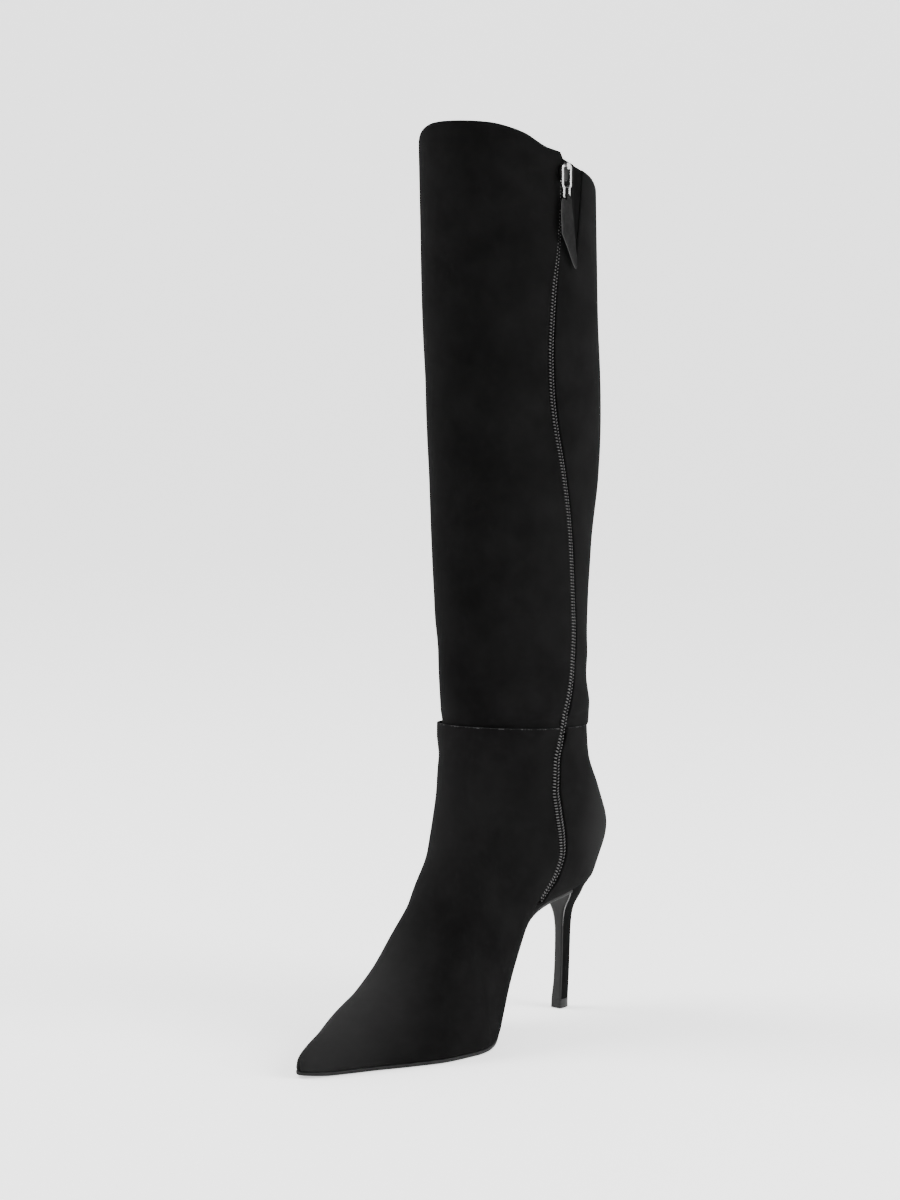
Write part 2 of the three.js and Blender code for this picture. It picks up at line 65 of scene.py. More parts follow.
# Driving sizes of the last and the shaft, as in the part's source
TOE_REACH = 230 * MM
HEEL_HEIGHT = 79 * MM
BALL_WIDTH = 78 * MM
SEAM_HEIGHT = 180 * MM
SHAFT_HEIGHT = 534 * MM
SHAFT_WIDTH = 97 * MM
SHAFT_DEPTH = 111 * MM
SHAFT_TWIST = math.radians(13.5)
SHAFT_FORWARD = 47 * MM
SEAT_WIDTH = 42 * MM
LIFT_HEIGHT = 5.5 * MM
WALL = 1.8 * MM
SOLE_THICKNESS = 2.2 * MM
SEAM_LAP = 8 * MM
TUCK = 9 * MM
LEAVES_SOLE = 0.13

# Mesh density
FOOT_SIDES, FOOT_PER_ROW = 150, 11
SHAFT_SIDES, SHAFT_PER_ROW = 180, 13
HEEL_SIDES, HEEL_PER_ROW = 64, 8

# Sections of the foot part, from the toe to above the ankle, in shares of the named sizes
FOOT_COLUMNS = ("ridge_forward", "ridge_height", "bottom_forward", "climb",
                "inner", "outer", "axis", "widest", "crown", "base")
FOOT_ROWS = (
    (0.998, 0.058, 0.998, 0, 0.045, -0.02, 0.032, 0.5, 2, 2.6),
    (0.993, 0.068, 0.993, 0, 0.075, 0.01, 0.032, 0.5, 2, 2.8),
    (0.978, 0.081, 0.98, 0, 0.11, 0.045, 0.033, 0.48, 2, 3),
    (0.945, 0.103, 0.95, 0, 0.16, 0.09, 0.035, 0.45, 2, 3.5),
    (0.88, 0.136, 0.9, 0, 0.225, 0.165, 0.038, 0.4, 2, 4),
    (0.787, 0.186, 0.83, 0, 0.31, 0.275, 0.042, 0.34, 2, 4.5),
    (0.683, 0.25, 0.74, 0, 0.435, 0.37, 0.046, 0.24, 2, 7),
    (0.607, 0.333, 0.63, 0, 0.54, 0.453, 0.048, 0.2, 2, 8),
    (0.54, 0.445, 0.51, 0, 0.562, 0.498, 0.05, 0.22, 2, 7),
    (0.478, 0.557, 0.395, 0, 0.49, 0.47, 0.045, 0.29, 2, 4),
    (0.443, 0.675, 0.25, 0, 0.41, 0.435, 0.035, 0.38, 2, 2.6),
    (0.443, 0.778, 0.1, 0, 0.41, 0.43, 0.02, 0.45, 2, 2),
    (0.439, 0.85, -0.022, 0, 0.41, 0.43, 0.01, 0.48, 2, 1.9),
    (0.434, 0.904, -0.114, 0.13, 0.445, 0.445, 0, 0.5, 2, 1.95),
    (0.429, 0.938, -0.134, 0.3, 0.462, 0.458, 0, 0.52, 2, 2),
    (0.426, 0.963, -0.1, 0.53, 0.46, 0.466, 0, 0.54, 2, 2),
    (0.423, 0.985, -0.054, 0.76, 0.462, 0.47, 0, 0.55, 2, 2),
    (0.42, 1.02, -0.041, 0.95, 0.474, 0.474, 0, 0.55, 2, 2),
    (0.418, 1.09, -0.037, 1.1, 0.474, 0.474, 0, 0.55, 2, 2),
)

# The feather line, where upper meets sole: forward as a share of TOE_REACH, rise as a share of the height
# of the heel seat over the sole
FEATHER_ROWS = (
    (-0.15, 1.104), (-0.091, 1.052), (-0.03, 1.006), (0.052, 0.961), (0.122, 0.941), (0.174, 0.919),
    (0.209, 0.896), (0.23, 0.857), (0.248, 0.805), (0.274, 0.707), (0.304, 0.603), (0.339, 0.492),
    (0.374, 0.362), (0.404, 0.206), (0.43, 0.089), (0.457, 0.031), (0.496, 0.008), (0.54, 0),
    (0.8, 0), (0.93, 0.003), (1, 0.02),
)

# The seam and the top line: forward, along the line that the shaft faces, as a share of SHAFT_DEPTH, and
# height as a share of SEAM_HEIGHT and of SHAFT_HEIGHT
SEAM_ROWS = ((-0.2, 0.972), (0.4, 0.998), (1, 1.03))
TOP_ROWS = (
    (-0.3, 0.905), (-0.05, 0.913), (0.19, 0.9268), (0.34, 0.94), (0.5, 0.951), (0.59, 0.958),
    (0.7, 0.969), (0.755, 0.978), (0.8, 0.9855), (0.86, 0.9925), (0.92, 0.998), (0.97, 1), (1.2, 1),
)

# Sections of the shaft: heights as shares of the way from seam to top, forward places of SHAFT_DEPTH and
# half widths of SHAFT_WIDTH
SHAFT_COLUMNS = ("height", "back", "front", "half", "widest")
SHAFT_ROWS = (
    (-0.073, -0.04, 0.83, 0.353, 0.54),
    (-0.02, -0.052, 0.837, 0.354, 0.54),
    (-0.006, -0.112, 0.842, 0.356, 0.54),
    (0.012, -0.114, 0.845, 0.36, 0.54),
    (0.032, -0.101, 0.846, 0.381, 0.53),
    (0.073, -0.077, 0.854, 0.386, 0.52),
    (0.141, -0.06, 0.868, 0.395, 0.51),
    (0.209, -0.058, 0.881, 0.41, 0.5),
    (0.278, -0.068, 0.89, 0.428, 0.5),
    (0.346, -0.086, 0.892, 0.449, 0.5),
    (0.415, -0.105, 0.892, 0.47, 0.5),
    (0.483, -0.108, 0.897, 0.488, 0.5),
    (0.561, -0.1, 0.906, 0.497, 0.5),
    (0.717, -0.069, 0.931, 0.499, 0.5),
    (0.863, -0.054, 0.944, 0.498, 0.5),
    (1.03, -0.037, 0.96, 0.498, 0.5),
)

# Sections of the heel, heights as shares of HEEL_HEIGHT and the rest as shares of SEAT_WIDTH
HEEL_COLUMNS = ("height", "back", "front", "half")
HEEL_ROWS = (
    (-0.05, 0.134, 0.108, 0.096), (0.07, 0.138, 0.1, 0.093), (0.215, 0.166, 0.07, 0.08),
    (0.44, 0.19, 0.05, 0.076), (0.58, 0.2, 0.045, 0.078), (0.66, 0.212, 0.046, 0.084),
    (0.71, 0.22, 0.049, 0.095), (0.76, 0.233, 0.056, 0.118), (0.81, 0.25, 0.07, 0.162),
    (0.86, 0.27, 0.095, 0.232), (0.91, 0.29, 0.131, 0.3), (0.96, 0.325, 0.214, 0.36),
    (1.01, 0.4, 0.262, 0.42), (1.09, 0.5, 0.31, 0.46),
)

# The zip's path on the inner side: height as a share of SHAFT_HEIGHT, forward of SHAFT_DEPTH
ZIP_ROWS = (
    (0.134, 0.48), (0.142, 0.445), (0.155, 0.393), (0.169, 0.342), (0.192, 0.311), (0.21, 0.328),
    (0.244, 0.38), (0.271, 0.412), (0.3, 0.41), (0.33, 0.366), (0.361, 0.33), (0.4, 0.29),
    (0.434, 0.288), (0.483, 0.32), (0.551, 0.38), (0.612, 0.452), (0.67, 0.53), (0.716, 0.564),
    (0.757, 0.574), (0.815, 0.562), (0.87, 0.534), (0.936, 0.518), (1.02, 0.518),
)
ZIP_BOTTOM = 0.142 * SHAFT_HEIGHT
ZIP_TOP = 0.9352 * SHAFT_HEIGHT


def smooth_curve(xs, ys):
    """A smooth curve through points, which never overshoots between them."""
    xs, ys = np.array(xs, float), np.array(ys, float)
    step = np.diff(xs)
    rise = np.diff(ys) / step
    before = 2 * step[1:] + step[:-1]
    after = step[1:] + 2 * step[:-1]
    same = rise[:-1] * rise[1:] > 0
    safe = np.where(same[:, None], np.stack([rise[:-1], rise[1:]], 1), 1)
    inner = np.where(same, (before + after) / (before / safe[:, 0] + after / safe[:, 1]), 0)
    slopes = np.concatenate([rise[:1], inner, rise[-1:]])

    def at(x):
        x = np.asarray(x, float)
        i = np.clip(np.searchsorted(xs, x, side="right") - 1, 0, len(step) - 1)
        h = step[i]
        t = np.clip((x - xs[i]) / h, 0, 1)
        start = ys[i] * (1 + 2 * t) * (1 - t) ** 2 + slopes[i] * h * t * (1 - t) ** 2
        end = ys[i + 1] * t * t * (3 - 2 * t) + slopes[i + 1] * h * t * t * (t - 1)
        return start + end

    return at


def profile(rows, x_size, y_size):
    """A smooth curve through rows of two shares, each of a named size."""
    return smooth_curve([row[0] * x_size for row in rows], [row[1] * y_size for row in rows])


def refine(columns, rows, per_row):
    """Records in between the rows of a table, as one array for each column."""
    places = np.arange(len(rows))
    fine = np.linspace(0, len(rows) - 1, (len(rows) - 1) * per_row + 1)
    return {
        name: smooth_curve(places, [row[k] for row in rows])(fine)
        for k, name in enumerate(columns)
    }


feather_rise = profile(FEATHER_ROWS, TOE_REACH, HEEL_HEIGHT - SOLE_THICKNESS)
seam_line = profile(SEAM_ROWS, SHAFT_DEPTH, SEAM_HEIGHT)
top_line = profile(TOP_ROWS, SHAFT_DEPTH, SHAFT_HEIGHT)
zip_forward = profile(ZIP_ROWS, SHAFT_HEIGHT, SHAFT_DEPTH)


def feather(forward):
    return SOLE_THICKNESS + feather_rise(forward)


def facing(points):
    """Forward distances along the line that the shaft faces."""
    turned = math.cos(SHAFT_TWIST) * (-points[..., 1] - SHAFT_FORWARD)
    return SHAFT_FORWARD + math.sin(SHAFT_TWIST) * points[..., 0] + turned


def smoothstep(value, low, high):
    t = np.clip((value - low) / (high - low), 0, 1)
    return t * t * (3 - 2 * t)


def rings_of(rows, sides):
    """Rings of a last: rounded above the widest line toward the ridge, squarer below it."""
    angle = 2 * np.pi * np.arange(sides) / sides
    sine, cosine = np.sin(angle), np.cos(angle)
    up = sine >= 0
    at = {name: values[:, None] for name, values in rows.items()}
    roundness = 2 / np.where(up, at["crown"], at["base"])
    along = np.abs(sine) ** roundness
    across = np.abs(cosine) ** roundness
    widest = at["widest"]
    share = np.where(up, widest + (1 - widest) * along, widest * (1 - along))
    reach = np.where(cosine >= 0, at["inner"] - at["axis"], -at["outer"] - at["axis"])
    forward = at["bottom_forward"] + share * (at["ridge_forward"] - at["bottom_forward"])
    height = at["bottom_height"] + share * (at["ridge_height"] - at["bottom_height"])
    return np.stack([at["axis"] + reach * across, -forward, height], -1)


def foot_rings():
    rows = refine(FOOT_COLUMNS, FOOT_ROWS, FOOT_PER_ROW)
    bottom_forward = rows["bottom_forward"] * TOE_REACH
    on_sole = feather(bottom_forward) - TUCK
    up_back = HEEL_HEIGHT + rows["climb"] * (SEAM_HEIGHT - HEEL_HEIGHT)
    lift = smoothstep(rows["climb"], 0, LEAVES_SOLE)
    rows.update(
        ridge_forward=rows["ridge_forward"] * TOE_REACH,
        ridge_height=rows["ridge_height"] * SEAM_HEIGHT,
        bottom_forward=bottom_forward,
        bottom_height=on_sole + lift * (up_back - on_sole),
        inner=rows["inner"] * BALL_WIDTH,
        outer=rows["outer"] * BALL_WIDTH,
        axis=rows["axis"] * BALL_WIDTH,
    )
    return rings_of(rows, FOOT_SIDES)


def level_rings(height, ridge, bottom, half, widest, crown, base, sides):
    """Rings of a body with level sections, the same on both sides."""
    even = np.ones_like(height)
    return rings_of({
        "ridge_forward": ridge, "ridge_height": height,
        "bottom_forward": bottom, "bottom_height": height,
        "inner": half, "outer": half, "axis": 0 * even,
        "widest": widest * even, "crown": crown * even, "base": base * even,
    }, sides)


def shaft_rings():
    rows = refine(SHAFT_COLUMNS, SHAFT_ROWS, SHAFT_PER_ROW)
    height = SEAM_HEIGHT + rows["height"] * (SHAFT_HEIGHT - SEAM_HEIGHT)
    ridge, bottom, half = rows["front"] * SHAFT_DEPTH, rows["back"] * SHAFT_DEPTH, rows["half"] * SHAFT_WIDTH
    return level_rings(height, ridge, bottom, half, rows["widest"], ROUND, ROUND, SHAFT_SIDES)


def outward(rings):
    """Normals of a grid of rings, pointing away from the middle of each ring."""
    around = np.roll(rings, -1, 1) - np.roll(rings, 1, 1)
    along = np.gradient(rings, axis=0)
    normals = np.cross(around, along)
    normals /= np.maximum(np.linalg.norm(normals, axis=2, keepdims=True), TINY)
    middle = rings.mean(1, keepdims=True)
    return normals * np.sign(((rings - middle) * normals).sum())


def grid_faces(rings, sides):
    """Triangles between rings that close on themselves."""
    ring, side = np.meshgrid(np.arange(rings - 1), np.arange(sides), indexing="ij")
    a = (ring * sides + side).ravel()
    b = (ring * sides + (side + 1) % sides).ravel()
    return np.concatenate([np.stack([a, b, b + sides], 1), np.stack([a, b + sides, a + sides], 1)])


def cut(points, faces, field, both=False):
    """Keeps the part of a mesh where a field is positive, or both parts with points along the cut."""
    value = np.where(np.abs(field) < ON_CUT, ON_CUT, field)
    inside = value > 0
    count = inside[faces].sum(1)
    whole = faces[(count == 3) | (both & (count == 0))]
    crossing = faces[(count == 1) | (count == 2)]
    alone_in = (count == 1)[(count == 1) | (count == 2)]
    if len(crossing) == 0:
        return points, whole
    odd = inside[crossing] == alone_in[:, None]
    turned = np.take_along_axis(crossing, (odd.argmax(1)[:, None] + np.arange(3)) % 3, 1)
    a, b, c = turned.T
    pairs = np.sort(np.concatenate([np.stack([a, b], 1), np.stack([a, c], 1)]), 1)
    unique, where = np.unique(pairs, axis=0, return_inverse=True)
    low, high = value[unique[:, 0]], value[unique[:, 1]]
    share = (low / (low - high))[:, None]
    made = points[unique[:, 0]] * (1 - share) + points[unique[:, 1]] * share
    ab, ac = len(points) + where.reshape(2, -1)
    tips = np.stack([a, ab, ac], 1)
    rests = np.stack([np.stack([ab, b, c], 1), np.stack([ab, c, ac], 1)])
    keep_tip = alone_in | both
    keep_rest = ~alone_in | both
    faces = np.concatenate([whole, tips[keep_tip], rests[0][keep_rest], rests[1][keep_rest]])
    return np.concatenate([points, made]), faces


def compact(points, faces):
    used, index = np.unique(faces, return_inverse=True)
    return points[used], index.reshape(faces.shape)


def trimmed(points, faces, trims, lined=(), depths=()):
    """A mesh cut by each field, with lines of points at some depths from some of the cuts."""
    for field in trims:
        points, faces = cut(points, faces, field(points))
    for depth in depths:
        for field in lined:
            points, faces = cut(points, faces, field(points) - depth, both=True)
    return points, faces


def in_scene(name, data):
    thing = bpy.data.objects.new(name, data)
    bpy.context.scene.collection.objects.link(thing)
    return thing


def mesh_object(name, points, faces, materials, shown=None, sharp=40):
    """A mesh with smooth faces. shown gives each face's material."""
    mesh = bpy.data.meshes.new(name)
    mesh.from_pydata(points.tolist(), [], [tuple(int(i) for i in face) for face in faces])
    for material in materials:
        mesh.materials.append(material)
    if shown is not None:
        mesh.polygons.foreach_set("material_index", np.asarray(shown, np.int32))
    mesh.shade_smooth()
    mesh.set_sharp_from_angle(angle=math.radians(sharp))
    mesh.validate()
    return in_scene(name, mesh)


def shell(name, points, faces, outside, inside):
    """A closed wall between an outer and an inner surface, with its own material inside."""
    points, faces = compact(points, faces)
    count = len(points)
    edges = np.concatenate([faces[:, [0, 1]], faces[:, [1, 2]], faces[:, [2, 0]]])
    known = set(map(tuple, edges.tolist()))
    rim = np.array([e for e in edges.tolist() if (e[1], e[0]) not in known])
    walls = np.concatenate([
        np.stack([rim[:, 1], rim[:, 0], rim[:, 0] + count], 1),
        np.stack([rim[:, 1], rim[:, 0] + count, rim[:, 1] + count], 1),
    ])
    every = np.concatenate([faces, faces[:, ::-1] + count, walls])
    shown = np.zeros(len(every), int)
    shown[len(faces):2 * len(faces)] = 1
    both = np.concatenate([points[:, :3], points[:, 3:6]])
    return mesh_object(name, both, every, [outside, inside], shown)


def rounded(points, distance, radius):
    """Rounds both faces of a wall toward its cut edge. Distance is from the edge."""
    d = np.clip(distance, 0, radius)
    drop = radius - np.sqrt(np.maximum(radius ** 2 - (radius - d) ** 2, 0))
    across = points[:, 3:6] - points[:, :3]
    thickness = np.maximum(np.linalg.norm(across, axis=1), TINY)
    move = across * (drop / thickness * np.minimum(1, thickness / (2 * radius)))[:, None]
    return np.concatenate([points[:, :3] + move, points[:, 3:6] - move], 1)


def grey(value, warm=0):
    return (value * (1 + warm), value, value * (1 - warm), 1)


def material(name, value, roughness, specular=0.5, warm=0, **more):
    """A grey material with the principled shader."""
    made = bpy.data.materials.new(name)
    made.use_nodes = True
    inputs = made.node_tree.nodes["Principled BSDF"].inputs
    inputs["Base Color"].default_value = grey(value, warm)
    inputs["Roughness"].default_value = roughness
    inputs["Specular IOR Level"].default_value = specular
    for socket, setting in more.items():
        inputs[socket.replace("_", " ").title()].default_value = setting
    return made


def node(tree, kind, **values):
    """A shader node with the values of its inputs."""
    made = tree.nodes.new("ShaderNode" + kind)
    for socket, value in values.items():
        made.inputs[socket.replace("_", " ")].default_value = value
    return made


def painted_highlight(made, centre, near, far, light):
    """A painted highlight: a lighter colour round one place, which fades away from it."""
    tree = made.node_tree
    colour = tree.nodes["Principled BSDF"].inputs["Base Color"]
    under = colour.links[0].from_socket
    place = node(tree, "TexCoord")
    away = node(tree, "VectorMath")
    away.operation = "DISTANCE"
    away.inputs[1].default_value = centre
    fade = node(tree, "MapRange", From_Min=near, From_Max=far, To_Min=1, To_Max=0)
    fade.interpolation_type = "SMOOTHSTEP"
    blend = node(tree, "Mix")
    blend.data_type = "RGBA"
    blend.inputs["B"].default_value = grey(light)
    tree.links.new(place.outputs["Object"], away.inputs[0])
    tree.links.new(away.outputs["Value"], fade.inputs["Value"])
    tree.links.new(fade.outputs["Result"], blend.inputs["Factor"])
    tree.links.new(under, blend.inputs["A"])
    tree.links.new(blend.outputs["Result"], colour)


def noise_at(tree, **values):
    """A noise in the object's own coordinates."""
    noise = node(tree, "TexNoise", **values)
    tree.links.new(node(tree, "TexCoord").outputs["Object"], noise.inputs["Vector"])
    return noise


MOTTLE_DETAIL, MOTTLE_ROUGHNESS = 4, 0.62
MOTTLE_BAND = (0.3, 0.7)
GRAIN_DETAIL = 3


def mottle(made, scale, low, high):
    """Varies the colour softly between two greys."""
    tree = made.node_tree
    noise = noise_at(tree, Scale=scale, Detail=MOTTLE_DETAIL, Roughness=MOTTLE_ROUGHNESS)
    ramp = node(tree, "ValToRGB")
    for element, position, value in zip(ramp.color_ramp.elements, MOTTLE_BAND, (low, high)):
        element.position = position
        element.color = grey(value)
    tree.links.new(noise.outputs["Fac"], ramp.inputs["Fac"])
    tree.links.new(ramp.outputs["Color"], tree.nodes["Principled BSDF"].inputs["Base Color"])


def grain(made, scale, strength, distance):
    """A fine relief of noise."""
    tree = made.node_tree
    noise = noise_at(tree, Scale=scale, Detail=GRAIN_DETAIL)
    bump = node(tree, "Bump", Strength=strength, Distance=distance)
    tree.links.new(noise.outputs["Fac"], bump.inputs["Height"])
    tree.links.new(bump.outputs["Normal"], tree.nodes["Principled BSDF"].inputs["Normal"])


suede = material("suede", 0.003, roughness=1, specular=0.01, sheen_weight=0.008, sheen_roughness=0.5)
mottle(suede, scale=46, low=0.0024, high=0.0042)
grain(suede, scale=2600, strength=0.35, distance=0.25 * MM)
# Painted highlights: the suede's colour is lighter on the outer side of the toe, on the counter and at the
# front of the ankle, where light falls
painted_highlight(suede, centre=(-60 * MM, -210 * MM, 50 * MM), near=45 * MM, far=120 * MM, light=0.016)
painted_highlight(suede, centre=(40 * MM, 30 * MM, 115 * MM), near=20 * MM, far=60 * MM, light=0.01)
painted_highlight(suede, centre=(-45 * MM, -120 * MM, 140 * MM), near=20 * MM, far=95 * MM, light=0.0075)

# Raw cut edges: a light grey that is partly the leather's own tone and partly a painted highlight along them
raw_edge_and_highlight = material("raw_edge_and_highlight", 0.04, roughness=0.9, specular=0.05)
mottle(raw_edge_and_highlight, scale=260, low=0.034, high=0.055)
strap_leather = material("strap_leather", 0.0045, roughness=0.8, specular=0.04, sheen_weight=0.01)
mottle(strap_leather, scale=240, low=0.0025, high=0.007)
lining = material("lining", 0.006, roughness=0.75, warm=0.06, specular=0.08)
grain(lining, scale=900, strength=0.2, distance=0.1 * MM)
sole_leather = material("sole_leather", 0.008, roughness=0.5, specular=0.08)
mottle(sole_leather, scale=160, low=0.006, high=0.01)
insole_leather = material("insole_leather", 0.02, roughness=0.6, warm=0.08, specular=0.1)
grain(insole_leather, scale=800, strength=0.2, distance=0.1 * MM)
breast_leather = material("breast_leather", 0.009, roughness=0.3, specular=0.15)
mottle(breast_leather, scale=90, low=0.007, high=0.011)
# A light grey that paints the highlight along the breast's edges
breast_edge_highlight = material("breast_edge_highlight", 0.1, roughness=0.35)
heel_tip = material("heel_tip", 0.012, roughness=0.42, specular=0.1)
grain(heel_tip, scale=900, strength=0.1, distance=0.05 * MM)

coil = material("zip_coil", 0.003, roughness=0.5, specular=0.08)
mottle(coil, scale=300, low=0.002, high=0.004)
# A light grey painted on the coils' crests as their highlights
coil_highlight = material("zip_coil_highlight", 0.055, roughness=0.4, specular=0.2)
cloth = material("zip_cloth", 0.002, roughness=0.9, specular=0.02)
grain(cloth, scale=2200, strength=0.4, distance=0.2 * MM)
elastic = material("elastic", 0.0024, roughness=1, specular=0.01)
grain(elastic, scale=1800, strength=0.3, distance=0.15 * MM)
metal = material("zip_metal", 0.45, roughness=0.24, metallic=1.0)
mottle(metal, scale=220, low=0.4, high=0.5)
dark_metal = material("slider_metal", 0.018, roughness=0.34, metallic=1.0)

# Soft folds and dents. Ends are a bearing round the shaft's axis in degrees, 0 toward the toe and
# 90 toward the inner side, with a height as a share of SHAFT_HEIGHT. Width and depth in millimetres,
# a positive depth stands out.
SHAFT_FOLDS = (
    ("bearing_a", "height_a", "bearing_b", "height_b", "width", "depth"),
    (40, 0.74, 64, 0.68, 15, -0.7),
    (18, 0.64, 46, 0.585, 14, -0.6),
    (28, 0.69, 50, 0.65, 13, 0.5),
    (52, 0.42, 84, 0.395, 9, -0.5),
    (48, 0.445, 80, 0.42, 9, 0.35),
    (110, 0.4, 150, 0.385, 9, -0.7),
    (112, 0.425, 152, 0.41, 9, 0.5),
    (160, 0.4, 215, 0.39, 9, -0.8),
    (160, 0.43, 212, 0.42, 10, 0.5),
    (-30, 0.43, -80, 0.405, 10, -0.6),
    (-40, 0.46, -85, 0.44, 10, 0.4),
    (100, 0.62, 128, 0.55, 14, -0.8),
    (105, 0.9, 118, 0.79, 9, 0.4),
    (-60, 0.72, -110, 0.66, 16, -0.7),
    (150, 0.78, 200, 0.72, 16, -0.6),
)

# The same on the foot. An end is a forward share of TOE_REACH, a sideways share of BALL_WIDTH, positive
# toward the inner side, and a height as a share of SEAM_HEIGHT.
FOOT_FOLDS = (
    ("forward_a", "side_a", "height_a", "forward_b", "side_b", "height_b", "width", "depth"),
    (0.45, 0.1, 0.78, 0.3, 0.4, 0.7, 9, -0.6),
    (0.45, -0.1, 0.78, 0.28, -0.42, 0.7, 9, -0.35),
    (0.44, 0.1, 0.86, 0.25, 0.4, 0.8, 9, 0.45),
    (0.44, -0.12, 0.86, 0.25, -0.42, 0.8, 9, 0.45),
    (0.47, 0.12, 0.65, 0.36, 0.42, 0.5, 10, 0.4),
    (0.68, 0.22, 0.2, 0.56, 0.5, 0.12, 9, -0.5),
    (0.8, -0.1, 0.17, 0.62, -0.38, 0.15, 14, 0.8),
    (0.97, -0.02, 0.085, 0.9, -0.14, 0.1, 7, -0.3),
    (0.47, -0.1, 0.54, 0.43, -0.27, 0.44, 12, 0.7),
    (0.62, 0.0, 0.34, 0.52, 0.42, 0.25, 11, -0.4),
    (0.5, -0.45, 0.2, 0.3, -0.42, 0.45, 12, -0.3),
    (0.36, 0.44, 0.35, 0.2, 0.4, 0.5, 10, -0.5),
    (0.03, 0.42, 0.485, -0.085, 0.29, 0.485, 5, -0.8),
    (-0.085, 0.29, 0.485, -0.13, 0, 0.485, 5, -0.8),
)


def folded(rings, folds, end):
    """Moves a grid along its normals by soft folds. end turns the values of one end into a point."""
    normals = outward(rings)
    move = np.zeros(rings.shape[:2])
    for row in folds[1:]:
        half = (len(row) - 2) // 2
        a, b = np.array(end(*row[:half])), np.array(end(*row[half:-2]))
        width, depth = row[-2] * MM, row[-1] * MM
        line = b - a
        along = ((rings - a) @ line) / (line @ line)
        share = np.clip(along, 0, 1)
        gap = np.linalg.norm(rings - (a + share[..., None] * line), axis=2)
        move += depth * np.exp(-((gap / width) ** 2))
    return rings + normals * move[..., None]


def shaft_end(bearing, height):
    turn = math.radians(bearing)
    half = SHAFT_DEPTH / 2
    return (
        SHAFT_WIDTH / 2 * math.sin(turn),
        -SHAFT_FORWARD - half * math.cos(turn),
        height * SHAFT_HEIGHT,
    )


def foot_end(forward, side, height):
    return (side * BALL_WIDTH, -forward * TOE_REACH, height * SEAM_HEIGHT)


def walled(rings):
    """Points of a grid's outer face with those of its inner face beside them."""
    inner = rings - WALL * outward(rings)
    return np.concatenate([rings, inner], 2).reshape(-1, 6)


def beside_zip(points):
    """Distance from the zip's middle in the side view, positive toward the toe. The outer side is far."""
    height = points[:, 2]
    slope = (zip_forward(height + MM) - zip_forward(height - MM)) / (2 * MM)
    away = (-points[:, 1] - zip_forward(height)) / np.sqrt(1 + slope ** 2)
    return np.where(points[:, 0] > 0, away, TOE_REACH)


# Half the width of the gap between the leather lips at the ankle, up the leg and at the slider, and the
# heights, as shares of SHAFT_HEIGHT, between which it narrows and then closes
LOW_HALF, HIGH_HALF, SHUT_HALF = 3.4 * MM, 2.1 * MM, 0.5 * MM
NARROWS = (0.3, 0.6)
CLOSES = (0.79, 0.875)
SLIT_SPARE = 1 * MM


def slit_half(height):
    """Half the width of the gap between the leather lips at a height."""
    share = height / SHAFT_HEIGHT
    narrow = smoothstep(share, *NARROWS) * (LOW_HALF - HIGH_HALF)
    shut = smoothstep(share, *CLOSES) * (HIGH_HALF - SHUT_HALF)
    return LOW_HALF - narrow - shut


def beyond_slit(points):
    """Distance from the edge of the zip's slit, positive on the leather."""
    below = ZIP_BOTTOM - SLIT_SPARE - points[:, 2]
    return np.maximum(np.abs(beside_zip(points)) - slit_half(points[:, 2]), below)


foot = folded(foot_rings(), FOOT_FOLDS, foot_end)
shaft = folded(shaft_rings(), SHAFT_FOLDS, shaft_end)
foot_faces = grid_faces(len(foot), FOOT_SIDES)[:, ::-1]
shaft_faces = grid_faces(len(shaft), SHAFT_SIDES)[:, ::-1]
foot_tree = BVHTree.FromPolygons(foot.reshape(-1, 3).tolist(), foot_faces.tolist())
shaft_tree = BVHTree.FromPolygons(shaft.reshape(-1, 3).tolist(), shaft_faces.tolist())
FAR = 300 * MM


def on_inner_side(tree, forward, height):
    """The point and normal of a body's inner side at a place in the side view."""
    hit, normal, _, _ = tree.ray_cast(Vector((FAR, -forward, height)), Vector((-1, 0, 0)))
    return hit, normal


# Lines of points along each cut edge, by their distance from it, and the radii that round the edges
FOOT_LINES = (0.35 * MM, 0.9 * MM, 1.8 * MM)
SHAFT_LINES = (0.3 * MM, 0.9 * MM, 1.8 * MM)
LIP_ROUND = 0.8 * MM
TOP_ROUND = 0.9 * MM

# Over the sole the leather leans in by a share of its wall
LEAN_HEIGHT = 1.8 * MM
LEAN_SHARE = 0.35


# The foot part
def above_feather(points):
    return points[:, 2] - feather(-points[:, 1])


def below_seam(points):
    return seam_line(facing(points)) - points[:, 2]


points, faces = trimmed(
    walled(foot), foot_faces, (above_feather, below_seam, beyond_slit),
    (above_feather, beyond_slit), FOOT_LINES)
upright = np.clip(above_feather(points) / LEAN_HEIGHT, 0, 1)
points[:, :3] += (points[:, 3:6] - points[:, :3]) * (LEAN_SHARE * (1 - upright) ** 2)[:, None]
points = rounded(points, beyond_slit(points), LIP_ROUND)
upper = shell("suede_foot", points, faces, suede, lining)
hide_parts("upper")

# The shaft, with the slit and the V for the elastic. The V's corners are shares of SHAFT_HEIGHT and of
# SHAFT_DEPTH, and the elastic lies a little under the leather.
GORE_ROWS = ((1.02, 0.437), (0.843, 0.409), (1.02, 0.3))
GORE_SUNK = 0.9 * MM
GORE_GAP = 0.15 * MM
GORE_BELOW_TOP = 0.3 * MM
STEP_RISE, STEP_REACH = 3 * MM, 11 * MM


def beyond_gore(points):
    """Distance from the V, positive on the leather."""
    front, tip, rear = [(f * SHAFT_DEPTH, h * SHAFT_HEIGHT) for h, f in GORE_ROWS]
    forward, height = -points[:, 1], points[:, 2]

    def past(a, b):
        along = (b[0] - a[0], b[1] - a[1])
        length = math.hypot(*along)
        return ((forward - a[0]) * along[1] - (height - a[1]) * along[0]) / length

    away = np.maximum(past(tip, front), -past(tip, rear))
    return np.where(points[:, 0] > 0, away, TOE_REACH)


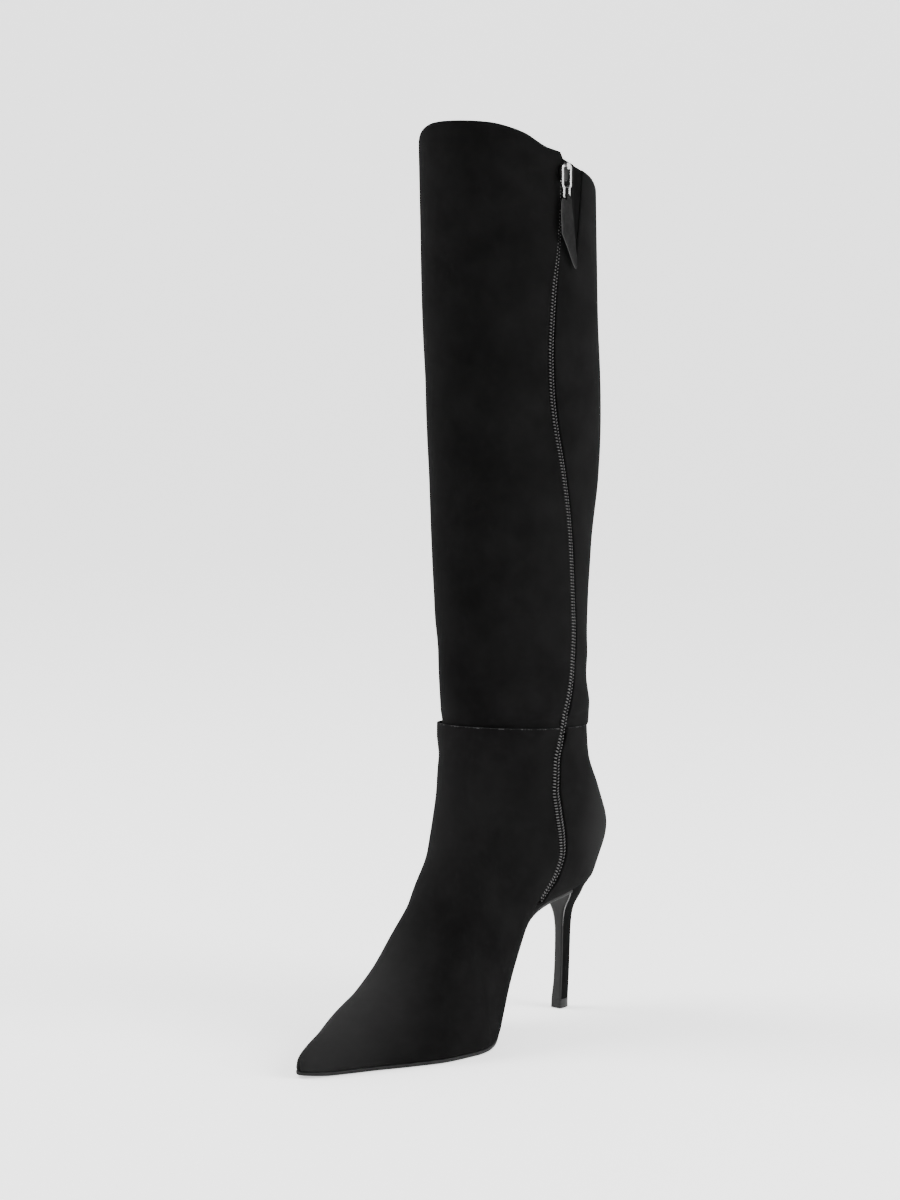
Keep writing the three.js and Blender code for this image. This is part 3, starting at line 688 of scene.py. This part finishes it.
def below_top(points):
    return top_line(facing(points)) - points[:, 2]


def below_step(points):
    """The same with the corner in front of the zip, which stands above the leather behind it."""
    away = beside_zip(points)
    return below_top(points) + np.where(away > 0, STEP_RISE * np.exp(-((away / STEP_REACH) ** 2)), 0)


def above_lap(points):
    return SEAM_LAP - below_seam(points)


points, faces = trimmed(
    walled(shaft), shaft_faces, (above_lap, beyond_slit, below_step, beyond_gore),
    (below_step, beyond_slit, beyond_gore), SHAFT_LINES)
points = rounded(points, np.minimum(beyond_slit(points), beyond_gore(points)), LIP_ROUND)
points = rounded(points, below_step(points), TOP_ROUND)
leg = shell("suede_shaft", points, faces, suede, lining)
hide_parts("shaft")

# The elastic in the V
def within_gore(points):
    return -GORE_GAP - beyond_gore(points)


def below_gore_top(points):
    return below_top(points) - GORE_BELOW_TOP


points = walled(shaft)
points[:, :3] += (points[:, 3:6] - points[:, :3]) * (GORE_SUNK / WALL)
points, faces = trimmed(points, shaft_faces, (within_gore, below_gore_top))
gore = shell("elastic_v", points, faces, elastic, lining)
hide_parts("elastic_gore")


def bar_faces(count, sides):
    """Four-sided faces between loops of points, and a cap at each end."""
    faces = []
    for i in range(count - 1):
        start, after = i * sides, (i + 1) * sides
        for k in range(sides):
            beside = (k + 1) % sides
            faces.append((start + k, start + beside, after + beside, after + k))
    return faces + [tuple(range(sides))[::-1], tuple(range((count - 1) * sides, count * sides))]


# A direction that no bar follows, and the sides of a bar
ASKEW = (0.31, 0.17, 0.93)
BAR_SIDES = 8


def tube(name, path, radius, made_of):
    """A round bar along a path, with a radius for each point."""
    path = np.asarray(path, float)
    along = np.gradient(path, axis=0)
    along /= np.linalg.norm(along, axis=1, keepdims=True)
    side = np.cross(along, ASKEW)
    side /= np.linalg.norm(side, axis=1, keepdims=True)
    other = np.cross(along, side)
    angle = 2 * np.pi * np.arange(BAR_SIDES) / BAR_SIDES
    ring = np.cos(angle)[None, :, None] * side[:, None] + np.sin(angle)[None, :, None] * other[:, None]
    points = (path[:, None] + ring * np.asarray(radius)[:, None, None]).reshape(-1, 3)
    return mesh_object(name, points, bar_faces(len(path), BAR_SIDES), [made_of])


# The raw cut edge of the foot part at the seam, coloured light: partly its own tone, partly a painted
# highlight. A wave of its radius has a pace for each step, and a start.
EDGE_STEPS = 400
EDGE_FROM_ZIP = 4.2 * MM
EDGE_BELOW = 0.25 * MM
EDGE_RADIUS = 0.3 * MM
EDGE_WANDER = 0.025 * MM
EDGE_WAVES = ((0.7, 0), (0.31, 2), (1.9, 1))
HEIGHT_STEPS = 4


def round_the_leg(tree, bearing, height_at):
    """The point and normal of a body at a bearing round the shaft's axis, at a height of the point's own."""
    turn = math.radians(bearing)
    out = Vector((math.sin(turn), -math.cos(turn), 0))
    height = SEAM_HEIGHT
    for _ in range(HEIGHT_STEPS):
        start = Vector((0, -SHAFT_FORWARD, height)) + FAR * out
        hit, normal, _, _ = tree.ray_cast(start, -out)
        height = float(height_at(np.array(hit)))
    return hit, normal


def seam_height(point):
    return seam_line(facing(point)) - EDGE_BELOW


bearings, edge_path, edge_radius = [], [], []
for step in range(EDGE_STEPS):
    bearing = 360 * step / EDGE_STEPS
    hit, normal = round_the_leg(foot_tree, bearing, seam_height)
    if hit.x > 0 and abs(float(beside_zip(np.array([hit]))[0])) < EDGE_FROM_ZIP:
        continue
    wander = sum(math.sin(step * pace + begin) for pace, begin in EDGE_WAVES)
    bearings.append(bearing)
    edge_path.append(hit - EDGE_RADIUS * normal)
    edge_radius.append(EDGE_RADIUS + EDGE_WANDER * wander)
behind_zip = int(np.argmax(np.diff(bearings))) + 1
cut_edge = tube("cut_edge", np.roll(edge_path, -behind_zip, 0), np.roll(edge_radius, -behind_zip), raw_edge_and_highlight)

# The sole lies inside the upper's edge at the waist and stands out a little at the forefoot
SOLE_REAR = 0.21 * SEAT_WIDTH
SOLE_TIP = 0.9985 * TOE_REACH
WAIST_IN = 0.5 * MM
SOLE_LIP = 0.1 * MM
LIP_STARTS = (0.42, 0.55)
SOLE_GAP = 0.08 * MM
TOP_CORNER, LOW_CORNER = 0.55 * MM, 0.7 * MM
MEASURED_BELOW = 0.7 * MM
LAST_MEASURED = 0.997 * TOE_REACH
CLOSER_AT_TOE = 1.9
SOLE_STEPS, CORNER_STEPS, FLAT_STEPS = 150, 5, 14

heel_front = profile([(row[0], row[2]) for row in HEEL_ROWS], HEEL_HEIGHT, SEAT_WIDTH)


def across_at(forward, height):
    """How far the foot reaches to both sides at a place in the side view."""
    sides = []
    for sign in (1, -1):
        hit, _, _, _ = foot_tree.ray_cast(Vector((sign * FAR, -forward, height)), Vector((-sign, 0, 0)))
        sides.append(hit.x if hit else None)
    return sides


def sole_solid():
    """Points and faces of the sole, as rings across the foot."""
    rings = []
    for i in range(SOLE_STEPS + 1):
        share = 1 - (1 - i / SOLE_STEPS) ** CLOSER_AT_TOE
        forward = SOLE_REAR + share * (SOLE_TIP - SOLE_REAR)
        middle = float(feather(forward)) - MEASURED_BELOW
        inner, outer = across_at(min(forward, LAST_MEASURED), middle)
        if inner is None or outer is None:
            continue
        forefoot = float(smoothstep(forward / TOE_REACH, *LIP_STARTS))
        lip = -WAIST_IN + forefoot * (WAIST_IN + SOLE_LIP)
        inner, outer = inner + lip, outer - lip
        low = float(feather_rise(forward))
        high = float(feather(forward)) - SOLE_GAP
        ring = []
        for side, level, first, radius in (
            (inner, high, 90, TOP_CORNER), (inner, low, 0, LOW_CORNER),
            (outer, low, -90, LOW_CORNER), (outer, high, -180, TOP_CORNER),
        ):
            centre_x = side + (-radius if side == inner else radius)
            centre_z = level + (radius if level == low else -radius)
            for k in range(CORNER_STEPS + 1):
                turn = math.radians(first - 90 * k / CORNER_STEPS)
                ring.append((
                    centre_x + radius * math.cos(turn), -forward, centre_z + radius * math.sin(turn)))
            if first in (0, -180):
                far_x = outer + radius if first == 0 else inner - radius
                for k in range(1, FLAT_STEPS):
                    ring.append((centre_x + (far_x - centre_x) * k / FLAT_STEPS, -forward, level))
        rings.append(ring)
    points = np.array(rings)
    count, sides = points.shape[:2]
    ends = [range(sides), range((count - 1) * sides, count * sides)[::-1]]
    return points.reshape(-1, 3), grid_faces(count, sides).tolist() + ends


def outward_faces(thing):
    """Turns the faces of a closed piece outward."""
    shape = bmesh.new()
    shape.from_mesh(thing.data)
    bmesh.ops.recalc_face_normals(shape, faces=shape.faces)
    shape.to_mesh(thing.data)
    shape.free()
    return thing


sole = outward_faces(mesh_object("sole", *sole_solid(), [sole_leather], sharp=50))
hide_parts("outsole")

# The heel: suede sides and back, a glossy breast with a painted highlight along its edge, and the tip. The
# breast is a little narrower than the heel.
HEEL_WIDEST, HEEL_CROWN, HEEL_BASE = 0.3, 2.2, 7
BREAST = 1 * MM
BREAST_GAP = 0.1 * MM
BREAST_SHARE = 0.985
SEAT_GAP = 0.1 * MM
LIFT_GAP = 0.15 * MM


def heel_rings():
    rows = refine(HEEL_COLUMNS, HEEL_ROWS, HEEL_PER_ROW)
    ridge, bottom, half = (rows[name] * SEAT_WIDTH for name in ("back", "front", "half"))
    return level_rings(
        rows["height"] * HEEL_HEIGHT, -ridge, bottom, half, HEEL_WIDEST, HEEL_CROWN, HEEL_BASE, HEEL_SIDES)


def heel_piece(name, low, high_of, made_of, shape, steps):
    """A closed piece of the heel between a height and one that each side's forward place decides."""
    rings = np.stack([shape(ring) for ring in heel_rings()])
    columns = []
    for side in range(HEEL_SIDES):
        line = rings[:, side]
        over = line[:, 2] - high_of(-line[:, 1])
        high = float(np.interp(0, over, line[:, 2]))
        heights = low + (high - low) * np.linspace(0, 1, steps + 1)
        x, y = (np.interp(heights, line[:, 2], line[:, k]) for k in range(2))
        columns.append(np.stack([x, y, heights], 1))
    points = np.stack(columns, 1)
    faces = grid_faces(steps + 1, HEEL_SIDES).tolist()
    flat = points.reshape(-1, 3)
    start = len(flat)
    flat = np.concatenate([flat, points[0].mean(0)[None], points[-1].mean(0)[None]])
    top = steps * HEEL_SIDES
    for side in range(HEEL_SIDES):
        beside = (side + 1) % HEEL_SIDES
        faces.append((start, beside, side))
        faces.append((start + 1, top + side, top + beside))
    return outward_faces(mesh_object(name, flat, faces, [made_of], sharp=35))


def behind(ring):
    """The part of a ring behind the breast."""
    limit = heel_front(ring[:, 2]) - BREAST
    return np.stack([ring[:, 0], -np.minimum(-ring[:, 1], limit), ring[:, 2]], 1)


def before(ring):
    """The part of a ring that is the breast."""
    limit = heel_front(ring[:, 2]) - BREAST + BREAST_GAP
    return np.stack([ring[:, 0] * BREAST_SHARE, -np.maximum(-ring[:, 1], limit), ring[:, 2]], 1)


heel_low = LIFT_HEIGHT + LIFT_GAP
heel = heel_piece("suede_heel", heel_low, lambda f: feather(f) + SEAT_GAP, suede, behind, steps=90)
breast = heel_piece(
    "breast", heel_low, lambda f: feather_rise(f) - BREAST_GAP, breast_leather, before, steps=70)
tip = heel_piece("tip", 0, lambda f: LIFT_HEIGHT + 0 * f, heel_tip, lambda ring: ring, steps=6)
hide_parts("heel")
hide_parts("heel_breast")
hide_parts("top_lift")

# The edge along the breast, a thin strip coloured light as a painted highlight
RIM_FROM, RIM_FULL, RIM_TO = 0.64 * HEEL_HEIGHT, 0.78 * HEEL_HEIGHT, 0.925 * HEEL_HEIGHT
RIM_SHARE = 0.972
RIM_IN, RIM_BACK = 0.1 * MM, 0.42 * MM
RIM_THIN, RIM_THICK = 0.06 * MM, 0.26 * MM
RIM_STEPS = 50

half_width = profile([(row[0], row[3]) for row in HEEL_ROWS], HEEL_HEIGHT, SEAT_WIDTH)
heights = np.linspace(RIM_FROM, RIM_TO, RIM_STEPS)
rim_radius = RIM_THIN + smoothstep(heights, RIM_FROM, RIM_FULL) * (RIM_THICK - RIM_THIN)
edges = []
for sign, word in ((1, "inner"), (-1, "outer")):
    side = sign * (half_width(heights) * RIM_SHARE - RIM_IN)
    path = np.stack([side, RIM_BACK - heel_front(heights), heights], 1)
    edges.append(tube("breast_edge_highlight_" + word, path, rim_radius, breast_edge_highlight))

# The zip: two rows of coil between the lips, on a strip of tape. A turn of the coil starts a little past
# the zip's middle, lies under the leather's surface and bulges. Its outer bands of faces are painted light
# as its highlights.
TOOTH_PITCH = 1.9 * MM
TOOTH_START, TOOTH_LENGTH = -0.3 * MM, 3.3 * MM
TOOTH_DEEP, TOOTH_BULGE, TOOTH_SLANT = 1 * MM, 0.6 * MM, 0.7 * MM
TOOTH_RADIUS = 0.36 * MM
BULGE_PACE, BLUNT, LEAST_END = 1.15, 6, 0.02
TOOTH_SECTIONS, TOOTH_SIDES = 7, 7
CREST_HIGHLIGHT_FACES = range(2 * TOOTH_SIDES, 5 * TOOTH_SIDES)
FIRST_TOOTH = 0.7
ZIP_STEPS = 700
SMOOTHED_STEPS = 15
seam_at_zip = float(seam_line(zip_forward(SEAM_HEIGHT)))


def zip_place(height):
    """A point of the zip's middle, on the leather's surface, which is evened out over the seam."""
    forward = float(zip_forward(height))
    reaches = []
    for share in (-1, -0.5, 0, 0.5, 1):
        near = height + share * SEAM_LAP
        tree = foot_tree if near < seam_at_zip else shaft_tree
        hit, _ = on_inner_side(tree, forward, near)
        reaches.append(hit.x)
    return np.array([sum(reaches) / len(reaches), -forward, height])


levels = np.linspace(ZIP_BOTTOM, ZIP_TOP, ZIP_STEPS)
middle_line = np.array([zip_place(height) for height in levels])
lengths = np.concatenate([[0], np.cumsum(np.linalg.norm(np.diff(middle_line, axis=0), axis=1))])


def surface_normals():
    """Normals of the leather along the zip, evened out."""
    normals = []
    for height in levels:
        tree = foot_tree if height < seam_at_zip else shaft_tree
        _, normal = on_inner_side(tree, float(zip_forward(height)), height)
        normals.append(normal)
    normals = np.array(normals)
    first, last = normals[:1].repeat(SMOOTHED_STEPS, 0), normals[-1:].repeat(SMOOTHED_STEPS, 0)
    padded = np.concatenate([first, normals, last])
    window = np.ones(2 * SMOOTHED_STEPS + 1) / (2 * SMOOTHED_STEPS + 1)
    return np.stack([np.convolve(padded[:, k], window, mode="valid") for k in range(3)], 1)


along_zip = np.gradient(middle_line, axis=0)
along_zip /= np.linalg.norm(along_zip, axis=1, keepdims=True)
out_of_zip = surface_normals()
out_of_zip -= along_zip * (out_of_zip * along_zip).sum(1, keepdims=True)
out_of_zip /= np.linalg.norm(out_of_zip, axis=1, keepdims=True)
across_zip = np.cross(along_zip, out_of_zip)


def at_length(values, length):
    """The value at a length along the zip."""
    return np.array([np.interp(length, lengths, values[:, k]) for k in range(3)])


def tooth(length, side):
    """One turn of the coil: a short slanted bar from the middle to one side."""
    centre = at_length(middle_line, length)
    reach = max(float(slit_half(centre[2])), HIGH_HALF) / LOW_HALF
    t, n, b = (at_length(values, length) for values in (along_zip, out_of_zip, across_zip))
    rows = []
    for share in np.linspace(0, 1, TOOTH_SECTIONS):
        out_to = side * reach * (TOOTH_START + share * TOOTH_LENGTH)
        rise = TOOTH_BULGE * math.sin(math.pi * min(1, share * BULGE_PACE)) - TOOTH_DEEP
        slant = (share - 0.5) * TOOTH_SLANT
        thick = TOOTH_RADIUS * math.sqrt(max(LEAST_END, 1 - (2 * share - 1) ** BLUNT))
        for k in range(TOOTH_SIDES):
            turn = 2 * math.pi * k / TOOTH_SIDES
            up, on = rise + thick * math.sin(turn), slant + thick * math.cos(turn)
            rows.append(centre + b * out_to + n * up + t * on)
    return rows, bar_faces(TOOTH_SECTIONS, TOOTH_SIDES)


teeth_points, teeth_faces, crest_highlights = [], [], []
for side, shift in ((1, 0), (-1, 0.5)):
    for i in range(int(lengths[-1] / TOOTH_PITCH) - 1):
        rows, shape = tooth((i + FIRST_TOOTH + shift) * TOOTH_PITCH, side)
        start = len(teeth_points)
        teeth_points += rows
        teeth_faces += [tuple(start + k for k in face) for face in shape]
        crest_highlights += [int(number in CREST_HIGHLIGHT_FACES) for number in range(len(shape))]
teeth = outward_faces(mesh_object(
    "zip_coils", np.array(teeth_points), teeth_faces, [coil, coil_highlight], shown=crest_highlights))
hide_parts("zip_chain")

# The tape's section in millimetres, across the zip and out of it
TAPE_SECTION = ((-4, -1.4), (0, -1.3), (4, -1.4), (4, -1.8), (0, -1.8), (-4, -1.8))
TAPE_EVERY = 3

tape_rings = []
for i in range(0, len(levels), TAPE_EVERY):
    centre, n, b = middle_line[i], out_of_zip[i], across_zip[i]
    tape_rings.append([centre + b * u * MM + n * v * MM for u, v in TAPE_SECTION])
tape_points = np.array(tape_rings).reshape(-1, 3)
tape_faces = bar_faces(len(tape_rings), len(TAPE_SECTION))
ribbon = outward_faces(mesh_object("zip_ribbon", tape_points, tape_faces, [cloth]))


def rounded_box(width, height, radius):
    """Outline of a rectangle with round corners about its middle."""
    outline = []
    for sx, sy, first in ((1, 1, 0), (-1, 1, 90), (-1, -1, 180), (1, -1, 270)):
        for k in range(CORNER_STEPS + 1):
            turn = math.radians(first + 90 * k / CORNER_STEPS)
            outline.append((
                sx * (width / 2 - radius) + radius * math.cos(turn),
                sy * (height / 2 - radius) + radius * math.sin(turn),
            ))
    return outline


PLATE_SHARP = math.radians(50)


def plate(name, outline, low, high, place, made_of, soften, hole=None):
    """A flat plate from an outline, with an optional hole of as many points, and soft edges."""
    shape = bmesh.new()
    made = [
        [[shape.verts.new(place(u, v, level)) for u, v in line] for line in (outline, hole) if line]
        for level in (low, high)
    ]

    def band(one, other):
        for k in range(len(one)):
            beside = (k + 1) % len(one)
            shape.faces.new((one[k], one[beside], other[beside], other[k]))

    for below, above in zip(*made):
        band(below, above)
    for loops in made:
        if hole:
            band(*loops)
        else:
            shape.faces.new(loops[0])
    bmesh.ops.recalc_face_normals(shape, faces=shape.faces)
    rim = [e for e in shape.edges if e.calc_face_angle(0) > PLATE_SHARP]
    bmesh.ops.bevel(shape, geom=rim, offset=soften, segments=3, affect="EDGES", clamp_overlap=True)
    mesh = bpy.data.meshes.new(name)
    shape.to_mesh(mesh)
    shape.free()
    mesh.materials.append(made_of)
    mesh.shade_smooth()
    mesh.set_sharp_from_angle(angle=PLATE_SHARP)
    return in_scene(name, mesh)


def link(name, width, height, low, high, place, made_of, bar, corner, hole_corner, soften):
    """A plate with a hole, so that a bar runs all round."""
    hole = rounded_box(width - 2 * bar, height - 2 * bar, hole_corner)
    return plate(name, rounded_box(width, height, corner), low, high, place, made_of, soften, hole)


# The slider, its pull and the leather strap, in the places of their solids
SLIDER_THICK = 2 * MM
SLIDER_BELOW_TOP = 1.6 * MM
BRIDGE_HALF = 1.2 * MM
PULL_BAR = 1.2 * MM
FRAME_HEIGHT = 13 * MM
EYE_WIDTH = 6 * MM
STRAP_HALF = 0.7 * MM
STRAP_GAP = 0.35 * MM
LOOP_HALF = 1.4 * MM

# Half the slider's outline: sideways as a share of half its width, up as a share of its height
SLIDER_ROWS = ((0.576, 0.5), (0.72, 0.46), (1, 0.2), (1, 0.08), (0.684, -0.42), (0.54, -0.5))

slider_low, slider_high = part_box("zip_slider")
slider_high.z -= SLIDER_BELOW_TOP
pull_low, pull_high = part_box("zip_pull")
strap_low, strap_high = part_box("pull_strap")
slider_y = (slider_low.y + slider_high.y) / 2
pull_x = (pull_low.x + pull_high.x) / 2
pull_y = (pull_low.y + pull_high.y) / 2
pivot_z = pull_high.z - PULL_BAR / 2


def facing_side(middle_y, middle_z):
    """Puts an outline upright, facing the inner side."""
    return lambda u, v, level: Vector((level, middle_y + u, middle_z + v))


slider_half = (slider_high.y - slider_low.y) / 2
slider_height = slider_high.z - slider_low.z
slider_outline = [(-side * slider_half, up * slider_height) for side, up in SLIDER_ROWS]
slider_outline += [(side * slider_half, up * slider_height) for side, up in reversed(SLIDER_ROWS)]
slider = plate(
    "slider", slider_outline, slider_low.x, slider_low.x + SLIDER_THICK,
    facing_side(slider_y, (slider_low.z + slider_high.z) / 2), dark_metal, soften=0.5 * MM)
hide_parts("zip_slider")

bridge_size = 2 * (slider_high.x - pull_x)
bridge = link(
    "slider_bridge", bridge_size, bridge_size, -BRIDGE_HALF, BRIDGE_HALF,
    lambda u, v, level: Vector((pull_x + u, slider_y + level, pivot_z + v)), metal,
    bar=0.85 * MM, corner=0.9 * MM, hole_corner=0.5 * MM, soften=0.3 * MM)

ring = link(
    "pull_frame", pull_high.y - pull_low.y, FRAME_HEIGHT, pull_low.x, pull_high.x,
    facing_side(pull_y, pull_high.z - FRAME_HEIGHT / 2), metal,
    bar=PULL_BAR, corner=1.3 * MM, hole_corner=0.5 * MM, soften=0.35 * MM)
eye_height = pull_high.z - FRAME_HEIGHT + PULL_BAR - pull_low.z
ear = link(
    "pull_eye", EYE_WIDTH, eye_height, pull_low.x, pull_high.x,
    facing_side(pull_y, pull_low.z + eye_height / 2), metal,
    bar=PULL_BAR, corner=1.2 * MM, hole_corner=0.5 * MM, soften=0.35 * MM)
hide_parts("zip_pull")

# Outline of the strap: sideways as a share of the eye's width, down as a share of the strap's length
STRAP_ROWS = (
    (0.62, 0), (0.7, 0.04), (0.7, 0.26), (0.6, 0.455), (0.27, 0.54), (-0.1, 0.62), (-0.56, 0.74),
    (-1, 0.855), (-1.32, 0.92), (-1.46, 0.93), (-1.54, 0.905), (-1.5, 0.8), (-1.34, 0.62), (-1.1, 0.415),
    (-0.9, 0.22), (-0.75, 0.1), (-0.7, 0.03), (-0.62, 0),
)
# Faces that look this little toward the inner or outer side are the strap's cut edge
CUT_FACE = 0.6

strap_top = pull_low.z - STRAP_GAP
strap_length = strap_top - strap_low.z
strap = plate(
    "strap", [(-side * EYE_WIDTH, -drop * strap_length) for side, drop in STRAP_ROWS],
    pull_x - STRAP_HALF, pull_x + STRAP_HALF, facing_side(pull_y, strap_top), strap_leather,
    soften=0.3 * MM)
# The strap's cut edge gets the raw edge grey, which is partly a painted highlight
strap.data.materials.append(raw_edge_and_highlight)
for face in strap.data.polygons:
    face.material_index = int(abs(face.normal.x) < CUT_FACE)
loop_size = strap_high.x - strap_low.x
loop = link(
    "strap_loop", loop_size, loop_size, -LOOP_HALF, LOOP_HALF,
    lambda u, v, level: Vector((pull_x + u, pull_y + level, pull_low.z + PULL_BAR / 2 + v)), strap_leather,
    bar=0.8 * MM, corner=1.3 * MM, hole_corner=0.6 * MM, soften=0.2 * MM)
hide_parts("pull_strap")

# Which body each piece moves with, and the record's finish for it
RIDES = {
    "boot": {
        "suede": [upper, leg, heel, cut_edge],
        "sole_leather": [sole],
        "breast_leather": [breast, *edges],
        "heel_tip": [tip],
        "zip_coil": [teeth],
        "tape": [ribbon],
        "elastic": [gore],
        "zip_metal": [slider, bridge],
    },
    "pull": {"zip_metal": [ring, ear], "suede": [strap, loop]},
}
for body, finishes in RIDES.items():
    for finish, things in finishes.items():
        for thing in things:
            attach(thing, body)

# The solids that stay as they are
for node, look in (("insole", insole_leather), ("zip_tape", cloth)):
    mesh = frame["nodes"][node].data
    mesh.materials.clear()
    mesh.materials.append(look)

# Floor, backdrop and soft studio light, in metres
paper = material("paper", 0.8, roughness=0.9, emission_color=grey(1), emission_strength=0.98)
FLOOR_REACH, BEND_RADIUS, WALL_TOP = 3.2, 1.4, 4.5
FLOOR_CENTRE, FLOOR_MIDDLE = 0.02, 1
FLOOR_BELOW = 0.4 * MM
BOWL_SIDES = 72
BEND_DEGREES = 6
WORLD_GREY, WORLD_STRENGTH = 0.9, 0.5
LOOKED_AT = Vector((0, -0.07, 0.25))


def bowl():
    """A round floor that curves up into a wall."""
    line = [(FLOOR_CENTRE, 0), (FLOOR_MIDDLE, 0), (FLOOR_REACH, 0)]
    for turn in np.radians(np.arange(BEND_DEGREES, 90 + 1, BEND_DEGREES)):
        line.append((FLOOR_REACH + BEND_RADIUS * math.sin(turn), BEND_RADIUS * (1 - math.cos(turn))))
    line.append((FLOOR_REACH + BEND_RADIUS, WALL_TOP))
    angle = 2 * np.pi * np.arange(BOWL_SIDES) / BOWL_SIDES
    points = np.array([
        [(r * math.cos(a), r * math.sin(a), z - FLOOR_BELOW) for a in angle] for r, z in line
    ])
    faces = grid_faces(len(line), BOWL_SIDES).tolist() + [range(BOWL_SIDES)]
    return outward_faces(mesh_object("floor", points.reshape(-1, 3), faces, [paper]))


bowl()

world = bpy.data.worlds.new("studio")
bpy.context.scene.world = world
world.use_nodes = True
sky = world.node_tree.nodes["Background"]
sky.inputs["Color"].default_value = grey(WORLD_GREY)
sky.inputs["Strength"].default_value = WORLD_STRENGTH


def seen_from(azimuth, elevation):
    """The direction toward a viewer, from angles in degrees. Azimuth 0 is in front of the toe."""
    a, e = math.radians(azimuth), math.radians(elevation)
    return Vector((math.sin(a) * math.cos(e), -math.cos(a) * math.cos(e), math.sin(e)))


def placed(name, data, location, back):
    """An object of the scene that looks away from a direction."""
    thing = in_scene(name, data)
    thing.location = location
    thing.rotation_mode = "QUATERNION"
    thing.rotation_quaternion = (-back).to_track_quat("-Z", "Y")
    return thing


def soft_light(name, azimuth, elevation, distance, size, power):
    """A square softbox that looks at the boot."""
    back = seen_from(azimuth, elevation)
    data = bpy.data.lights.new(name, "AREA")
    data.shape = "SQUARE"
    data.size = size
    data.energy = power
    placed(name, data, LOOKED_AT + distance * back, back)


soft_light("key", azimuth=-60, elevation=50, distance=2.2, size=1.1, power=65)
soft_light("side", azimuth=112, elevation=25, distance=1.7, size=1.0, power=50)

# The camera, a little above the boot and looking slightly down
CAMERA_AZIMUTH, CAMERA_PITCH = 42, 6.7
CAMERA_PLACE = (1.3426, -1.5913, 0.494)
view = bpy.data.cameras.new("view")
view.lens = 104.5
view.sensor_width = 36
bpy.context.scene.camera = placed("camera", view, CAMERA_PLACE, seen_from(CAMERA_AZIMUTH, CAMERA_PITCH))
